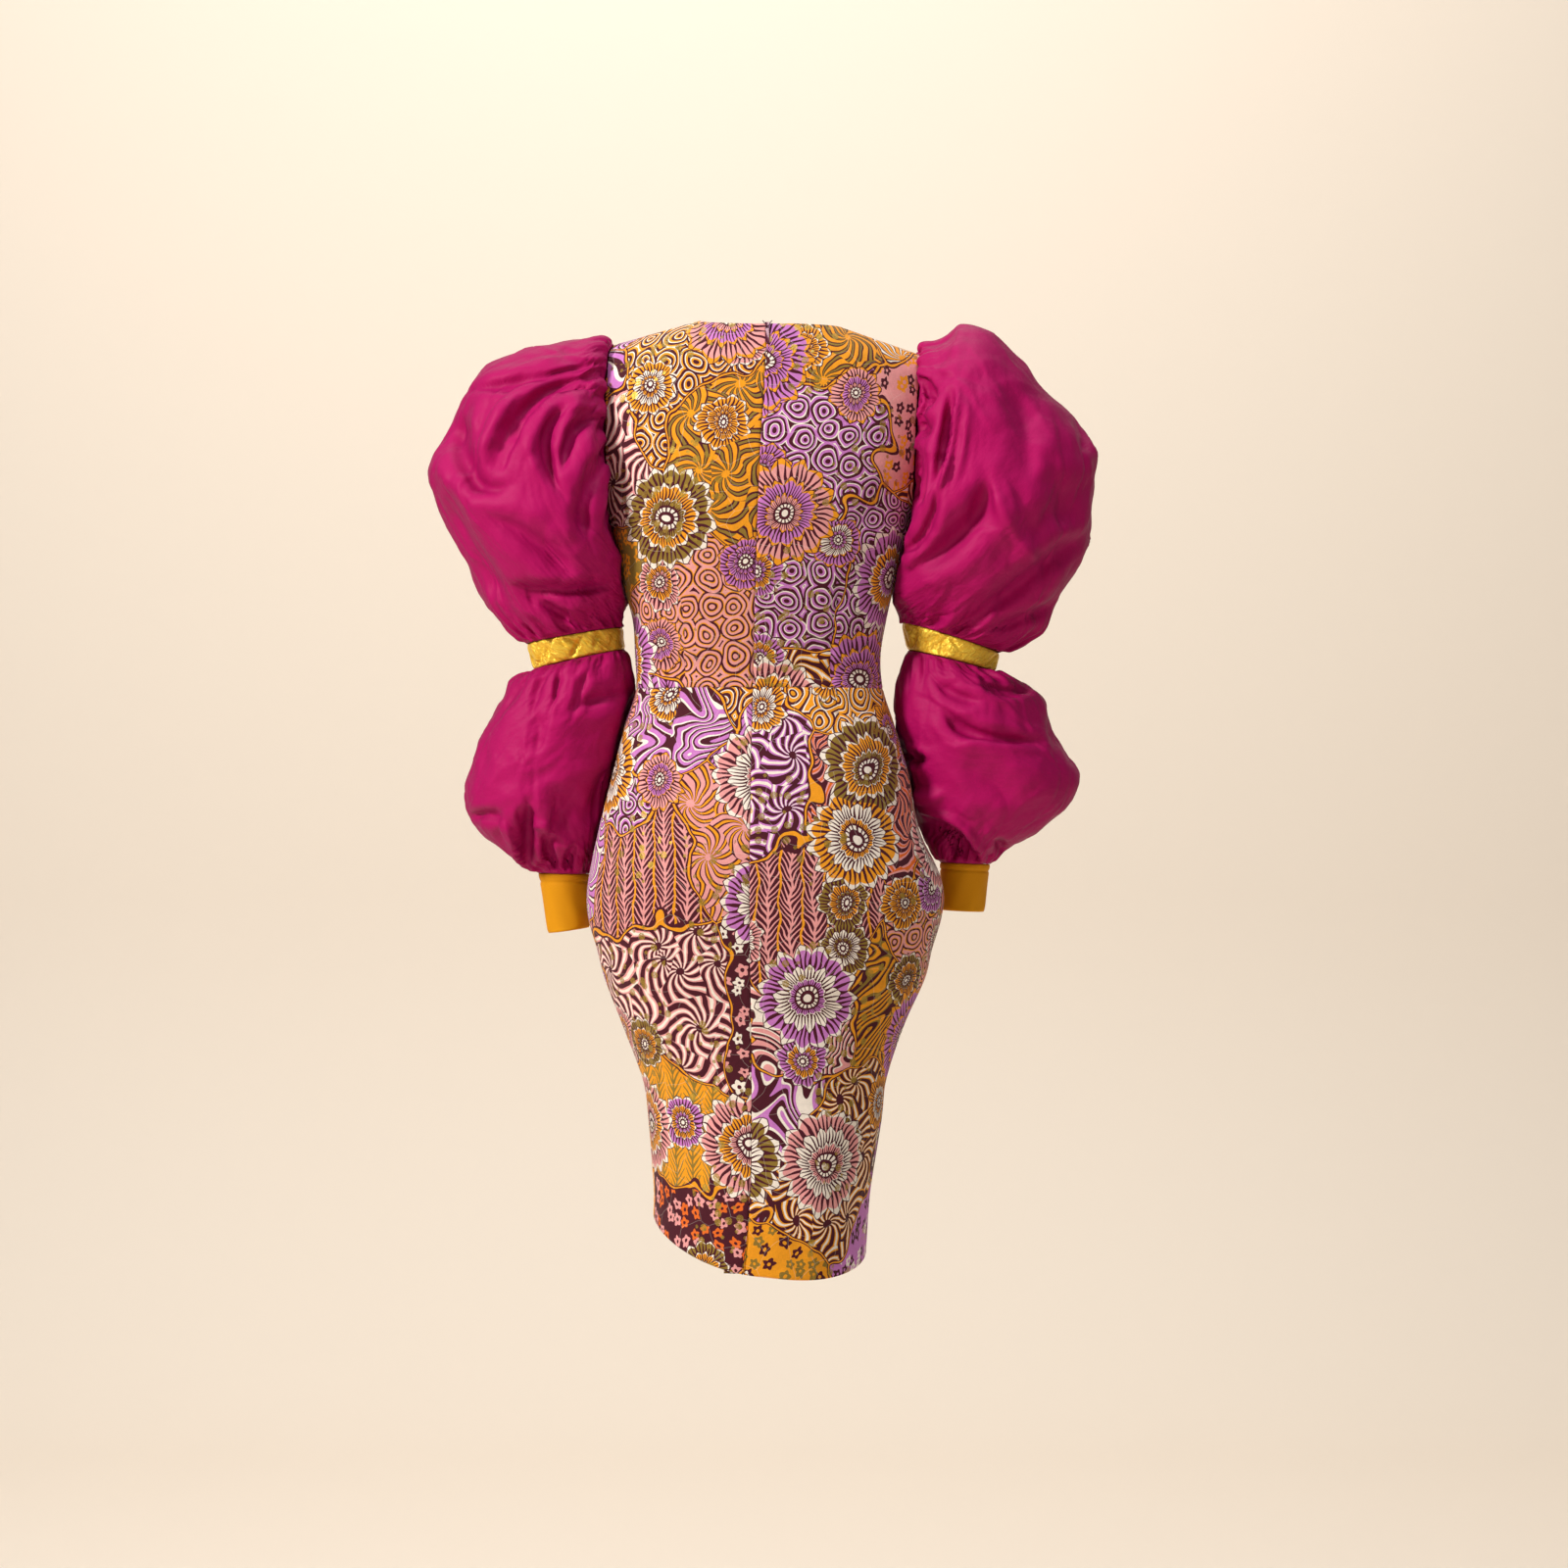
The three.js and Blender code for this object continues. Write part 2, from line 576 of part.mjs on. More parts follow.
for (const name of ['left', 'right']) {
  const shoulder = SHOULDERS[name];
  const { side } = shoulder;
  const sleeve = SLEEVES[name];
  const upperEnd = besideRing(side, sleeve.band[0], sleeve.upper.at(-1));
  const lowerStart = besideRing(side, sleeve.band.at(-1), sleeve.lower[0]);
  const lowerEnd = besideRing(side, sleeve.cuff[0], sleeve.lower.at(-1));

  // Upper puff, from the armhole to the elbow band. Its columns crowd at the sleeve head.
  const upperRings = [...sleeve.upper, upperEnd];
  const upperTurns = steps(UPPER_COLUMNS).slice(0, -1)
    .map((t) => 2 * Math.PI * t)
    .map((t) => t - HEAD_CROWDING * Math.sin(t));
  const armhole = upperTurns.map((turn) => {
    const point = armholePoint(shoulder, turn);
    point.x += side * ARMHOLE_GAP;
    return point;
  });
  const armholeMiddle = armholePoint(shoulder, 0).add(armholePoint(shoulder, Math.PI))
    .multiplyScalar(0.5);
  const upperLines = [armhole, ...upperRings.map((ring, i) => upperTurns.map((turn, c) => {
    const push = gatherDepth(c, i + 1, upperRings.length)
      - foldDepth(sleeve.folds, i + 1, turn);
    return ringPoint(side, ring, turn, i + 1 === upperRings.length ? 0 : push);
  }))];
  const upperMiddles = [armholeMiddle, ...upperRings.map((ring) => ringMiddle(side, ring))];
  add(`upper_puff_${name}`, clothWall(upperLines, tubeWays(upperLines, upperMiddles), true),
    'taffeta');

  // Lower puff, from the elbow band to the cuff
  const lowerRings = [lowerStart, ...sleeve.lower, lowerEnd];
  const lowerTurns = steps(LOWER_COLUMNS).slice(0, -1).map((t) => 2 * Math.PI * t);
  const lowerLines = lowerRings.map((ring, i) => lowerTurns.map((turn, c) => {
    const isSeam = i === 0 || i === lowerRings.length - 1;
    const push = gatherDepth(c, i, lowerRings.length - 1)
      - foldDepth(sleeve.lowerFolds, i, turn);
    return ringPoint(side, ring, turn, isSeam ? 0 : push);
  }));
  const lowerMiddles = lowerRings.map((ring) => ringMiddle(side, ring));
  add(`lower_puff_${name}`, clothWall(lowerLines, tubeWays(lowerLines, lowerMiddles), true),
    'taffeta');

  // Elbow band and cuff, plain tubes
  const bandTurns = steps(BAND_COLUMNS).slice(0, -1).map((t) => 2 * Math.PI * t);
  for (const [piece, rings, finish] of [
    ['arm_band', sleeve.band, 'lame'],
    ['cuff', sleeve.cuff, 'amber'],
  ]) {
    const lines = rings.map((ring) => bandTurns.map((turn) => ringPoint(side, ring, turn, 0)));
    const middles = rings.map((ring) => ringMiddle(side, ring));
    add(`${piece}_${name}`, clothWall(lines, tubeWays(lines, middles), true), finish);
  }
}

// Zip: the slider sits over the top of the centre back seam, and its pull hangs on the
// cloth below. Both are made upright, outer face to +Y, then leaned along the seam.
const SLIDER = { wide: 4.4, above: 4.5, below: 3.6, low: 0.3, top: 1.5, corner: 1.2 };
const BRIDGE = { wide: 1.2, half: 3.2, leg: 1.1, eye: 1.7, crown: 1, round: 0.2, sunk: 0.5 };
const PULL = { long: 22, wide: 4.3, neck: 3.8, thick: 0.8, eyeWide: 2.4, bar: 0.45, eyeLong: 3.7 };
const PULL_SWELL = { from: 4.7, turn: 9, into: 13, widest: 17, close: 20, tip: 1.2 };
const PULL_REST_GAP = 0.35;

function solidFrom(geometry) {
  const bare = geometry.clone();
  bare.deleteAttribute('normal');
  bare.deleteAttribute('uv');
  const merged = mergeVertices(bare, 1e-4);
  return new wasm.Manifold(new wasm.Mesh({
    numProp: 3,
    vertProperties: merged.attributes.position.array,
    triVerts: new Uint32Array(merged.index.array),
  }));
}

function geometryFrom(solid) {
  const mesh = solid.getMesh();
  const geometry = new THREE.BufferGeometry();
  geometry.setAttribute('position', new THREE.BufferAttribute(mesh.vertProperties, 3));
  geometry.setIndex(new THREE.BufferAttribute(mesh.triVerts, 1));
  return geometry;
}

function extrude(shape, depth) {
  return new THREE.ExtrudeGeometry(shape, { depth, bevelEnabled: false, curveSegments: 5 });
}

// The slider's plate lies in X and Z and is extruded outward.
const plateShape = new THREE.Shape();
const plateHalf = SLIDER.wide / 2;
const foot = plateHalf - SLIDER.corner / 2;
plateShape.moveTo(-foot, -SLIDER.below);
plateShape.lineTo(foot, -SLIDER.below);
plateShape.lineTo(plateHalf, SLIDER.above - SLIDER.corner);
plateShape.quadraticCurveTo(plateHalf, SLIDER.above, plateHalf - SLIDER.corner, SLIDER.above);
plateShape.lineTo(-plateHalf + SLIDER.corner, SLIDER.above);
plateShape.quadraticCurveTo(-plateHalf, SLIDER.above, -plateHalf, SLIDER.above - SLIDER.corner);
plateShape.closePath();
const plate = extrude(plateShape, SLIDER.top - SLIDER.low);
plate.rotateX(Math.PI / 2).rotateZ(Math.PI);
plate.translate(0, SLIDER.low, 0);

// The bridge arches over the pull's bar. Its outline lies in Z and Y, out from the plate.
const crownY = SLIDER.top + BRIDGE.eye + BRIDGE.crown;
const archShape = new THREE.Shape();
archShape.moveTo(-BRIDGE.half, BRIDGE.sunk);
archShape.lineTo(BRIDGE.half, BRIDGE.sunk);
archShape.lineTo(BRIDGE.half, SLIDER.top + BRIDGE.eye);
archShape.quadraticCurveTo(BRIDGE.half - BRIDGE.round, crownY, BRIDGE.half - BRIDGE.leg, crownY);
archShape.lineTo(-BRIDGE.half + BRIDGE.leg, crownY);
archShape.quadraticCurveTo(-BRIDGE.half + BRIDGE.round, crownY, -BRIDGE.half, SLIDER.top + BRIDGE.eye);
archShape.closePath();
const eyeShape = new THREE.Path();
const eyeHalf = BRIDGE.half - BRIDGE.leg;
eyeShape.moveTo(-eyeHalf, SLIDER.top);
eyeShape.lineTo(eyeHalf, SLIDER.top);
eyeShape.lineTo(eyeHalf, SLIDER.top + BRIDGE.eye);
eyeShape.lineTo(-eyeHalf, SLIDER.top + BRIDGE.eye);
eyeShape.closePath();
archShape.holes.push(eyeShape);
const arch = extrude(archShape, BRIDGE.wide);
arch.translate(0, 0, -BRIDGE.wide / 2);
arch.applyMatrix4(new THREE.Matrix4().set(
  0, 0, 1, 0,
  0, 1, 0, 0,
  -1, 0, 0, 0,
  0, 0, 0, 1,
));

// The pull hangs down from its bar, narrow at the eye and full near its round tip.
const pullShape = new THREE.Shape();
const pullHalf = PULL.wide / 2;
const neckHalf = PULL.neck / 2;
pullShape.moveTo(-neckHalf, PULL.bar);
pullShape.lineTo(neckHalf, PULL.bar);
pullShape.lineTo(neckHalf, -PULL_SWELL.from);
pullShape.bezierCurveTo(neckHalf, -PULL_SWELL.turn, pullHalf, -PULL_SWELL.into,
  pullHalf, -PULL_SWELL.widest);
pullShape.bezierCurveTo(pullHalf, -PULL_SWELL.close, PULL_SWELL.tip, -PULL.long, 0, -PULL.long);
pullShape.bezierCurveTo(-PULL_SWELL.tip, -PULL.long, -pullHalf, -PULL_SWELL.close,
  -pullHalf, -PULL_SWELL.widest);
pullShape.bezierCurveTo(-pullHalf, -PULL_SWELL.into, -neckHalf, -PULL_SWELL.turn,
  -neckHalf, -PULL_SWELL.from);
pullShape.closePath();
const pullEye = new THREE.Path();
pullEye.moveTo(-PULL.eyeWide / 2, -PULL.bar);
pullEye.lineTo(-PULL.eyeWide / 2, -PULL.eyeLong);
pullEye.lineTo(PULL.eyeWide / 2, -PULL.eyeLong);
pullEye.lineTo(PULL.eyeWide / 2, -PULL.bar);
pullEye.closePath();
pullShape.holes.push(pullEye);
const pull = extrude(pullShape, PULL.thick);
pull.translate(0, 0, -PULL.thick / 2);
pull.rotateX(Math.PI / 2);

// The seam's own line at the top of the back, from the two highest rows of points
const backTop = bodicePoint(SHOULDERS.left, BACK, 0, SIDE_ROWS + ARMHOLE_ROWS).point;
const backBelow = bodicePoint(SHOULDERS.left, BACK, 0, SIDE_ROWS + ARMHOLE_ROWS - 1).point;
const seamRun = backTop.clone().sub(backBelow);
const lean = Math.atan2(-seamRun.y, seamRun.z);
const zip = new THREE.Group();
zip.rotation.x = lean;
zip.position.copy(backTop).addScaledVector(seamRun.clone().normalize(), -SLIDER.above);
zip.position.x = (backTop.x + backBelow.x) / 2 - HALF_GAP;
dress.add(zip);
const sliderSolid = solidFrom(plate).add(solidFrom(arch));
add('zip_slider', geometryFrom(sliderSolid), 'zip', zip);

const hinge = new THREE.Group();
const axisY = SLIDER.top + BRIDGE.eye / 2;
hinge.position.y = axisY;
hinge.rotation.x = -Math.asin((axisY - PULL.thick / 2 - PULL_REST_GAP) / PULL.long);
zip.add(hinge);
add('zip_pull', pull, 'zip', hinge);

export default dress;
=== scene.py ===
"""A knee-length printed dress with double puff sleeves, seen from behind in its worn form.

The tables are in millimetres, with the same sections and rings as the solids, and MM turns
them into metres. The dress's left side is +X, its front faces -Y and +Z is up.
"""

import math

import bpy
import numpy as np
from mathutils import Matrix, Vector, noise


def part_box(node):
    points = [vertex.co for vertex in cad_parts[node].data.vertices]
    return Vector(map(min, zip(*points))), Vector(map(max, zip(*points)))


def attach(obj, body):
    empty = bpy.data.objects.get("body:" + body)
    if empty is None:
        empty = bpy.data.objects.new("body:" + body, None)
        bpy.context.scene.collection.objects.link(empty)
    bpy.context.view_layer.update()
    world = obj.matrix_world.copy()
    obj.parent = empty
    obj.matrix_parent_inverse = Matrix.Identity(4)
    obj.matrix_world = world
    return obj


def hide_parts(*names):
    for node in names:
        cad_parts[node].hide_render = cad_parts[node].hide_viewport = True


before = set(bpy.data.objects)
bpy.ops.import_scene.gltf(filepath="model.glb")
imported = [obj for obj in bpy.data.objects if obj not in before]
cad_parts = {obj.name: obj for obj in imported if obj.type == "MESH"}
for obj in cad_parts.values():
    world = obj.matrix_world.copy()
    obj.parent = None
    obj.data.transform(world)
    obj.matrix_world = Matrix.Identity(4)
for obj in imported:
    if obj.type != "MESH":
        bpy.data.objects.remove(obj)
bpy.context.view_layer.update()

# Body of the dress
# Bodice and skirt are each one front and two backs of printed cotton, cut close and
# sewn at the shoulders, the sides, the waist and the centre back. The cloth is one layer.
# The hem is turned up, and the back parts in a vent over a strip of the same print.
MM = 0.001
BACK, FRONT = 1, -1
WAIST_Z, UNDERARM_Z, VENT_TOP_Z = -358.0, -198.0, -815.0
ROUNDNESS = 2.4
LEFT, RIGHT, AHEAD, BEHIND = 1, 2, 3, 4

# Level sections: height, then the reach to the left, right, front and back
BODY = np.array([
    [-7, 150, 156, 60, 66],
    [-20, 160, 165, 70, 76],
    [-60, 172, 171, 86, 90],
    [-110, 171, 169, 100, 103],
    [-165, 162, 160, 112, 106],
    [-198, 153, 151, 114, 103],
    [-255, 140, 135, 104, 93],
    [-290, 131, 127, 96, 84],
    [-325, 129, 121.5, 90, 76],
    [-358, 128, 124, 88, 72],
    [-393, 139, 135, 97, 86],
    [-445, 152, 150, 106, 106],
    [-502, 166, 161, 110, 123],
    [-545, 175, 181, 110, 128],
    [-569, 178, 186, 109, 127],
    [-593, 176, 183, 109, 125],
    [-623, 167.5, 174, 108, 122],
    [-652, 160, 167, 108, 118],
    [-699, 142, 146, 108, 113],
    [-757, 120.5, 127, 110, 112],
    [-793, 115.5, 123, 113, 114],
    [-865, 110, 111.5, 124, 124],
    [-893, 110, 109, 128, 127],
    [-960, 110, 105, 133, 131],
])
# The centre back line: height and X
CENTRE_BACK = np.array([
    [8, -7],
    [-155, 2],
    [-358, 8],
    [-560, 11],
    [-757, 9],
    [-850, 10],
    [-945, 18],
])
BUST_OUT, BUST_Z, BUST_RISE, BUST_WIDE, BUST_TALL = 75, -160, 12, 46, 48
NECK_BACK, NECK_FRONT = (-7, 62, 8), (0, 72, -62)
SHOULDERS = {
    "left": {"side": 1, "neck": (62, 17), "tip": (150, -7)},
    "right": {"side": -1, "neck": (78, 10), "tip": (156, -18)},
}
NECK_SHARE, SIDE_ROWS, ARMHOLE_ROWS = 0.5, 4, 8
SHOULDER_ROLL, ROLL_Z = 75, -60
ARMHOLE_BACK, ARMHOLE_FRONT, ARMHOLE_CUT = 50, 52, 12
QUARTER, TURN = math.pi / 2, 2 * math.pi


def mix(a, b, t):
    return a + (b - a) * t


def smooth(x, low, high):
    t = np.clip((x - low) / (high - low), 0, 1)
    return t * t * (3 - 2 * t)


# A smooth curve through one column of a table whose rows run down in height
def column_at(table, column, z):
    z = np.asarray(z, float)
    heights, values = table[:, 0], table[:, column]
    last = len(heights) - 1
    i = np.clip(np.searchsorted(-heights, -z, side="left") - 1, 0, last - 1)
    before, after = np.maximum(i - 1, 0), np.minimum(i + 2, last)
    span = heights[i + 1] - heights[i]
    t = np.clip((z - heights[i]) / span, 0, 1)
    start = (values[i + 1] - values[before]) / (heights[i + 1] - heights[before]) * span
    end = (values[after] - values[i]) / (heights[after] - heights[i]) * span
    rise = 3 * t * t - 2 * t ** 3
    return mix(values[i], values[i + 1], rise) + start * t * (1 - t) ** 2 - end * t * t * (1 - t)


def reach(first, second, which, z):
    return np.where(which, column_at(BODY, first, z), column_at(BODY, second, z))


def bust(x, z, along):
    across = (np.abs(x) - BUST_OUT) / BUST_WIDE
    up = (z - BUST_Z) / BUST_TALL
    swell = BUST_RISE * np.exp(-across ** 2 - up ** 2) * np.minimum(1, -along * 3)
    return np.where(along >= 0, 0, swell)


# A body point by its turn round the dress: 0 behind, a quarter on the left side
def body_point(turn, z):
    across, along = np.sin(turn), np.cos(turn)
    half = reach(LEFT, RIGHT, across >= 0, z)
    depth = reach(BEHIND, AHEAD, along >= 0, z)
    x = np.sign(across) * half * np.abs(across) ** (2 / ROUNDNESS)
    y = np.sign(along) * depth * np.abs(along) ** (2 / ROUNDNESS)
    return np.stack([x, y - bust(x, z, along), z + 0 * x], axis=-1)


def body_depth(x, z, face):
    half = reach(LEFT, RIGHT, x >= 0, z)
    share = np.clip(1 - (np.abs(x) / half) ** ROUNDNESS, 0, 1) ** (1 / ROUNDNESS)
    depth = column_at(BODY, BEHIND if face == BACK else AHEAD, z) * share
    return face * (depth + (bust(x, z, -share) if face == FRONT else 0))


# The armhole by its turn: 0 at the shoulder tip, a quarter behind, a half at the underarm
def armhole_point(shoulder, turn):
    side, (_, tip_z) = shoulder["side"], shoulder["tip"]
    middle = (tip_z + UNDERARM_Z) / 2
    z = middle + (tip_z - middle) * np.cos(turn)
    is_back = np.sin(turn) >= 0
    y = np.sin(turn) * np.where(is_back, ARMHOLE_BACK, ARMHOLE_FRONT)
    depth = reach(BEHIND, AHEAD, is_back, z)
    share = (1 - (np.abs(y) / depth) ** ROUNDNESS) ** (1 / ROUNDNESS)
    half = column_at(BODY, LEFT if side > 0 else RIGHT, z) * share
    cut = np.where(is_back, 0, ARMHOLE_CUT * np.sin(turn) ** 2)
    return np.stack([side * (half - cut), y, z], axis=-1)


# The top edge of a panel, from the centre past the neck point to the shoulder tip
def top_edge(shoulder, face, share):
    side, (neck_x, neck_z), (tip_x, tip_z) = (shoulder[k] for k in ("side", "neck", "tip"))
    centre_x, centre_y, centre_z = NECK_BACK if face == BACK else NECK_FRONT
    turn = np.clip(share / NECK_SHARE, 0, 1) * QUARTER
    down = np.clip((share - NECK_SHARE) / (1 - NECK_SHARE), 0, 1)
    at_neck = share < NECK_SHARE
    x = np.where(at_neck, mix(centre_x, side * neck_x, np.sin(turn)), side * mix(neck_x, tip_x, down))
    y = np.where(at_neck, np.maximum(0, centre_y * np.cos(turn)), 0)
    z = np.where(at_neck, mix(neck_z, centre_z, np.cos(turn)), mix(neck_z, tip_z, down))
    return x, face * y, z


# A bodice point: share runs from the centre to the side, row from the waist to the top
def bodice_point(shoulder, face, share, row):
    side = shoulder["side"]
    top_x, top_y, top_z = top_edge(shoulder, face, share)
    tip_x, _, _ = top_edge(shoulder, face, np.ones(1))
    first_x, _, _ = top_edge(shoulder, face, np.zeros(1))
    climb = np.clip((row - SIDE_ROWS) / ARMHOLE_ROWS, 0, 1)
    raised = mix(climb, (1 - np.cos(math.pi * climb)) / 2, share * share)
    low = mix(WAIST_Z, UNDERARM_Z, np.clip(row / SIDE_ROWS, 0, 1))
    z = np.where(row <= SIDE_ROWS, low, mix(UNDERARM_Z, top_z, raised))
    hole = armhole_point(shoulder, math.pi * (1 - climb) * face)
    flank = body_point(side * QUARTER + 0 * z, z)
    edge = np.where((row > SIDE_ROWS)[..., None], hole, flank)
    centre_x = column_at(CENTRE_BACK, 1, z) if face == BACK else 0 * z
    round_share = np.sin(share * QUARTER) ** (2 / ROUNDNESS)
    top_share = (top_x - first_x) / (tip_x - first_x)
    x = mix(centre_x, edge[..., 0], mix(round_share, top_share, climb ** 2))
    drop = np.clip((top_z - z) / SHOULDER_ROLL, 0, 1)
    at_shoulder = np.sqrt(1 - (1 - drop) ** 2)
    roll = mix(np.sin(drop * QUARTER), at_shoulder, np.clip(share / NECK_SHARE, 0, 1))
    level = np.minimum(z, ROLL_Z)
    y = mix(top_y, body_depth(x, level, face), roll)
    at_edge = mix(top_y, body_depth(edge[..., 0], level, face), roll)
    y = y + np.where(row > SIDE_ROWS, (edge[..., 1] - at_edge) * share ** 4, 0)
    is_top = row >= SIDE_ROWS + ARMHOLE_ROWS
    x, y, z = np.where(is_top, top_x, x), np.where(is_top, top_y, y), np.where(is_top, top_z, z)
    y = np.where(share == 1, face * np.maximum(0, face * y), y)
    return np.stack([x, y, z], axis=-1)


HEM_Z, HEM_BEHIND, HEM_LEFT, HEM_QUARTERS, VENT_SPREAD = -919.5, -14.5, 19.5, -7, 1


def hem_z(turn):
    return HEM_Z + HEM_BEHIND * np.cos(turn) + HEM_LEFT * np.sin(turn) + HEM_QUARTERS * np.cos(2 * turn)


def centre_turn(z):
    x = column_at(CENTRE_BACK, 1, z)
    half = reach(LEFT, RIGHT, x >= 0, z)
    return np.sign(x) * np.arcsin((np.abs(x) / half) ** (ROUNDNESS / 2))


def skirt_back_point(side, share, down):
    z = mix(WAIST_Z, hem_z(0), down)
    turn = mix(centre_turn(z), side * QUARTER, share)
    point = body_point(turn, mix(WAIST_Z, hem_z(turn), down))
    parted = VENT_SPREAD * np.maximum(0, VENT_TOP_Z - z) / (VENT_TOP_Z - hem_z(0))
    point[..., 0] += np.where(share == 0, side * parted, 0)
    point[..., 1] = np.where(share == 1, 0, point[..., 1])
    return point


def skirt_front_point(share, down):
    turn = mix(QUARTER, 3 * QUARTER, share)
    point = body_point(turn, mix(WAIST_Z, hem_z(turn), down))
    point[..., 1] = np.where((share == 0) | (share == 1), 0, point[..., 1])
    return point


# The outward direction at each point of a grid, from its neighbours. Rows run down.
def grid_normals(grid, middles, is_tube):
    if is_tube:
        round_way = np.roll(grid, -1, axis=1) - np.roll(grid, 1, axis=1)
    else:
        round_way = np.gradient(grid, axis=1)
    ways = np.cross(np.gradient(grid, axis=0), round_way)
    ways /= np.maximum(np.linalg.norm(ways, axis=2, keepdims=True), 1e-9)
    facing = np.sum(ways * (grid - middles), axis=2)
    return ways if facing.mean() >= 0 else -ways


def step_lengths(grid, axis):
    return np.linalg.norm(np.diff(grid, axis=axis), axis=2)


def steps_round(grid):
    return np.linalg.norm(np.roll(grid, -1, axis=1) - grid, axis=2)


# Distances in millimetres along each row or column from its first point
def run_along(grid, axis):
    lengths = np.cumsum(step_lengths(grid, axis), axis=axis)
    return np.insert(lengths, 0, 0, axis=axis)


# Distances from the four edges of a piece: top, bottom, first column and last
def from_edges(grid):
    down, across = run_along(grid, 0), run_along(grid, 1)
    return [down, down[-1:] - down, across, across[:, -1:] - across]


# A soft trough or ridge along a bent line in X and Z, on the cloth that faces front or back.
# The line has three places, and the fold is wide and deep in millimetres at its middle.
def fold_depth(grid, ways, face, start, middle, end, wide, deep, sharp=1.0):
    t = np.linspace(0, 1, 13)[:, None]
    a, b, c = (np.array(p, float) for p in (start, middle, end))
    line = (1 - t) ** 2 * a + 2 * t * (1 - t) * (2 * b - (a + c) / 2) + t * t * c
    spot = grid[..., [0, 2]]
    nearest = np.full(grid.shape[:2], 1e9)
    along = np.zeros(grid.shape[:2])
    side = np.zeros(grid.shape[:2])
    for k in range(len(line) - 1):
        start, run = line[k], line[k + 1] - line[k]
        off = spot - start
        share = np.clip((off[..., 0] * run[0] + off[..., 1] * run[1]) / (run ** 2).sum(), 0, 1)
        away = off - share[..., None] * run
        distance = np.linalg.norm(away, axis=2)
        closer = distance < nearest
        nearest = np.where(closer, distance, nearest)
        along = np.where(closer, (k + share) / (len(line) - 1), along)
        side = np.where(closer, np.sign(off[..., 0] * run[1] - off[..., 1] * run[0]), side)
    ends = smooth(along, -0.02, 0.3) * smooth(1 - along, -0.02, 0.3)
    width = wide * (0.55 + 0.45 * ends)
    soft = np.sqrt(nearest ** 2 + (0.15 * width) ** 2) - 0.15 * width
    trough = np.exp(-(soft / width) ** (2 - 0.8 * sharp))
    crest = 0.32 * np.exp(-((nearest - 1.7 * width) / (0.8 * width)) ** 2)
    facing = smooth(face * ways[..., 1], -0.05, 0.35)
    return deep * (0.15 + 0.85 * ends) * (trough - crest) * facing


def pick(obj):
    bpy.ops.object.select_all(action="DESELECT")
    obj.select_set(True)
    bpy.context.view_layer.objects.active = obj


# One mesh of cloth from a grid in millimetres, with its flat cut as UV in metres. The second
# layer lies inward. A jump is cloth that a dart takes up, by column.
CLOTH = 0.0007


def cloth_mesh(name, grid, middles, flat, is_tube=False, thick=CLOTH, jumps=()):
    rows, columns = grid.shape[:2]
    wrap = columns if is_tube else columns - 1
    r, c = np.meshgrid(np.arange(rows - 1), np.arange(wrap), indexing="ij")
    r, c = r.ravel(), c.ravel()
    row_of = np.stack([r, r + 1, r + 1, r], axis=1)
    column_of = np.stack([c, c, c + 1, c + 1], axis=1)
    corners = row_of * columns + column_of % columns
    places = np.stack([row_of, column_of], axis=-1)
    points = grid.reshape(-1, 3)
    centres = np.broadcast_to(middles, grid.shape).reshape(-1, 3)
    a, b, d = (points[corners[:, k]] for k in (0, 1, 3))
    if np.sum(np.cross(b - a, d - a) * (a - centres[corners[:, 0]])) < 0:
        corners, places = corners[:, ::-1], places[:, ::-1]
    data = bpy.data.meshes.new(name)
    data.vertices.add(len(points))
    data.vertices.foreach_set("co", (points * MM).ravel())
    data.loops.add(corners.size)
    data.loops.foreach_set("vertex_index", corners.ravel())
    data.polygons.add(len(corners))
    data.polygons.foreach_set("loop_start", np.arange(0, corners.size, 4))
    data.polygons.foreach_set("loop_total", np.full(len(corners), 4))
    data.polygons.foreach_set("use_smooth", np.ones(len(corners), bool))
    data.update(calc_edges=True)
    cut = data.uv_layers.new(name="cut")
    uv = flat[places[..., 0], places[..., 1]] * MM
    for column, sizes in jumps:
        uv[c >= column, :, 0] += sizes[places[c >= column, :, 0]] * MM
    cut.data.foreach_set("uv", uv.ravel())
    data.validate()
    obj = bpy.data.objects.new(name, data)
    bpy.context.scene.collection.objects.link(obj)
    pick(obj)
    layer = obj.modifiers.new("second layer", "SOLIDIFY")
    layer.thickness, layer.offset = thick, -1
    bpy.ops.object.modifier_apply(modifier=layer.name)
    return obj


# Grid places from 0 to 1, even inside and crowded where an edge is turned in. The steps beside
# an edge and the length are in millimetres.
EDGE_STEPS = np.array([0, 0.6, 1.4, 2.6, 4.2])


def crowded(count, length, low=True, high=True):
    even = np.linspace(0, 1, count + 1)
    near = EDGE_STEPS / length
    inner = even[(even > near[-1] * 1.4 if low else even >= 0)
                 & (even < 1 - near[-1] * 1.4 if high else even <= 1)]
    return np.concatenate([near if low else [], inner, 1 - near[::-1] if high else []])


TURN_IN, TURN_WIDE, FOLD_MARGIN = 0.9, 3.0, 7


# The cloth rolls in where it is sewn or turned.
def rolled(grid, ways, turned_edges):
    edges = from_edges(grid)
    nearest = np.min([edges[k] for k in turned_edges], axis=0)
    return grid - ways * (TURN_IN * np.clip(1 - nearest / TURN_WIDE, 0, 1) ** 2)[..., None]


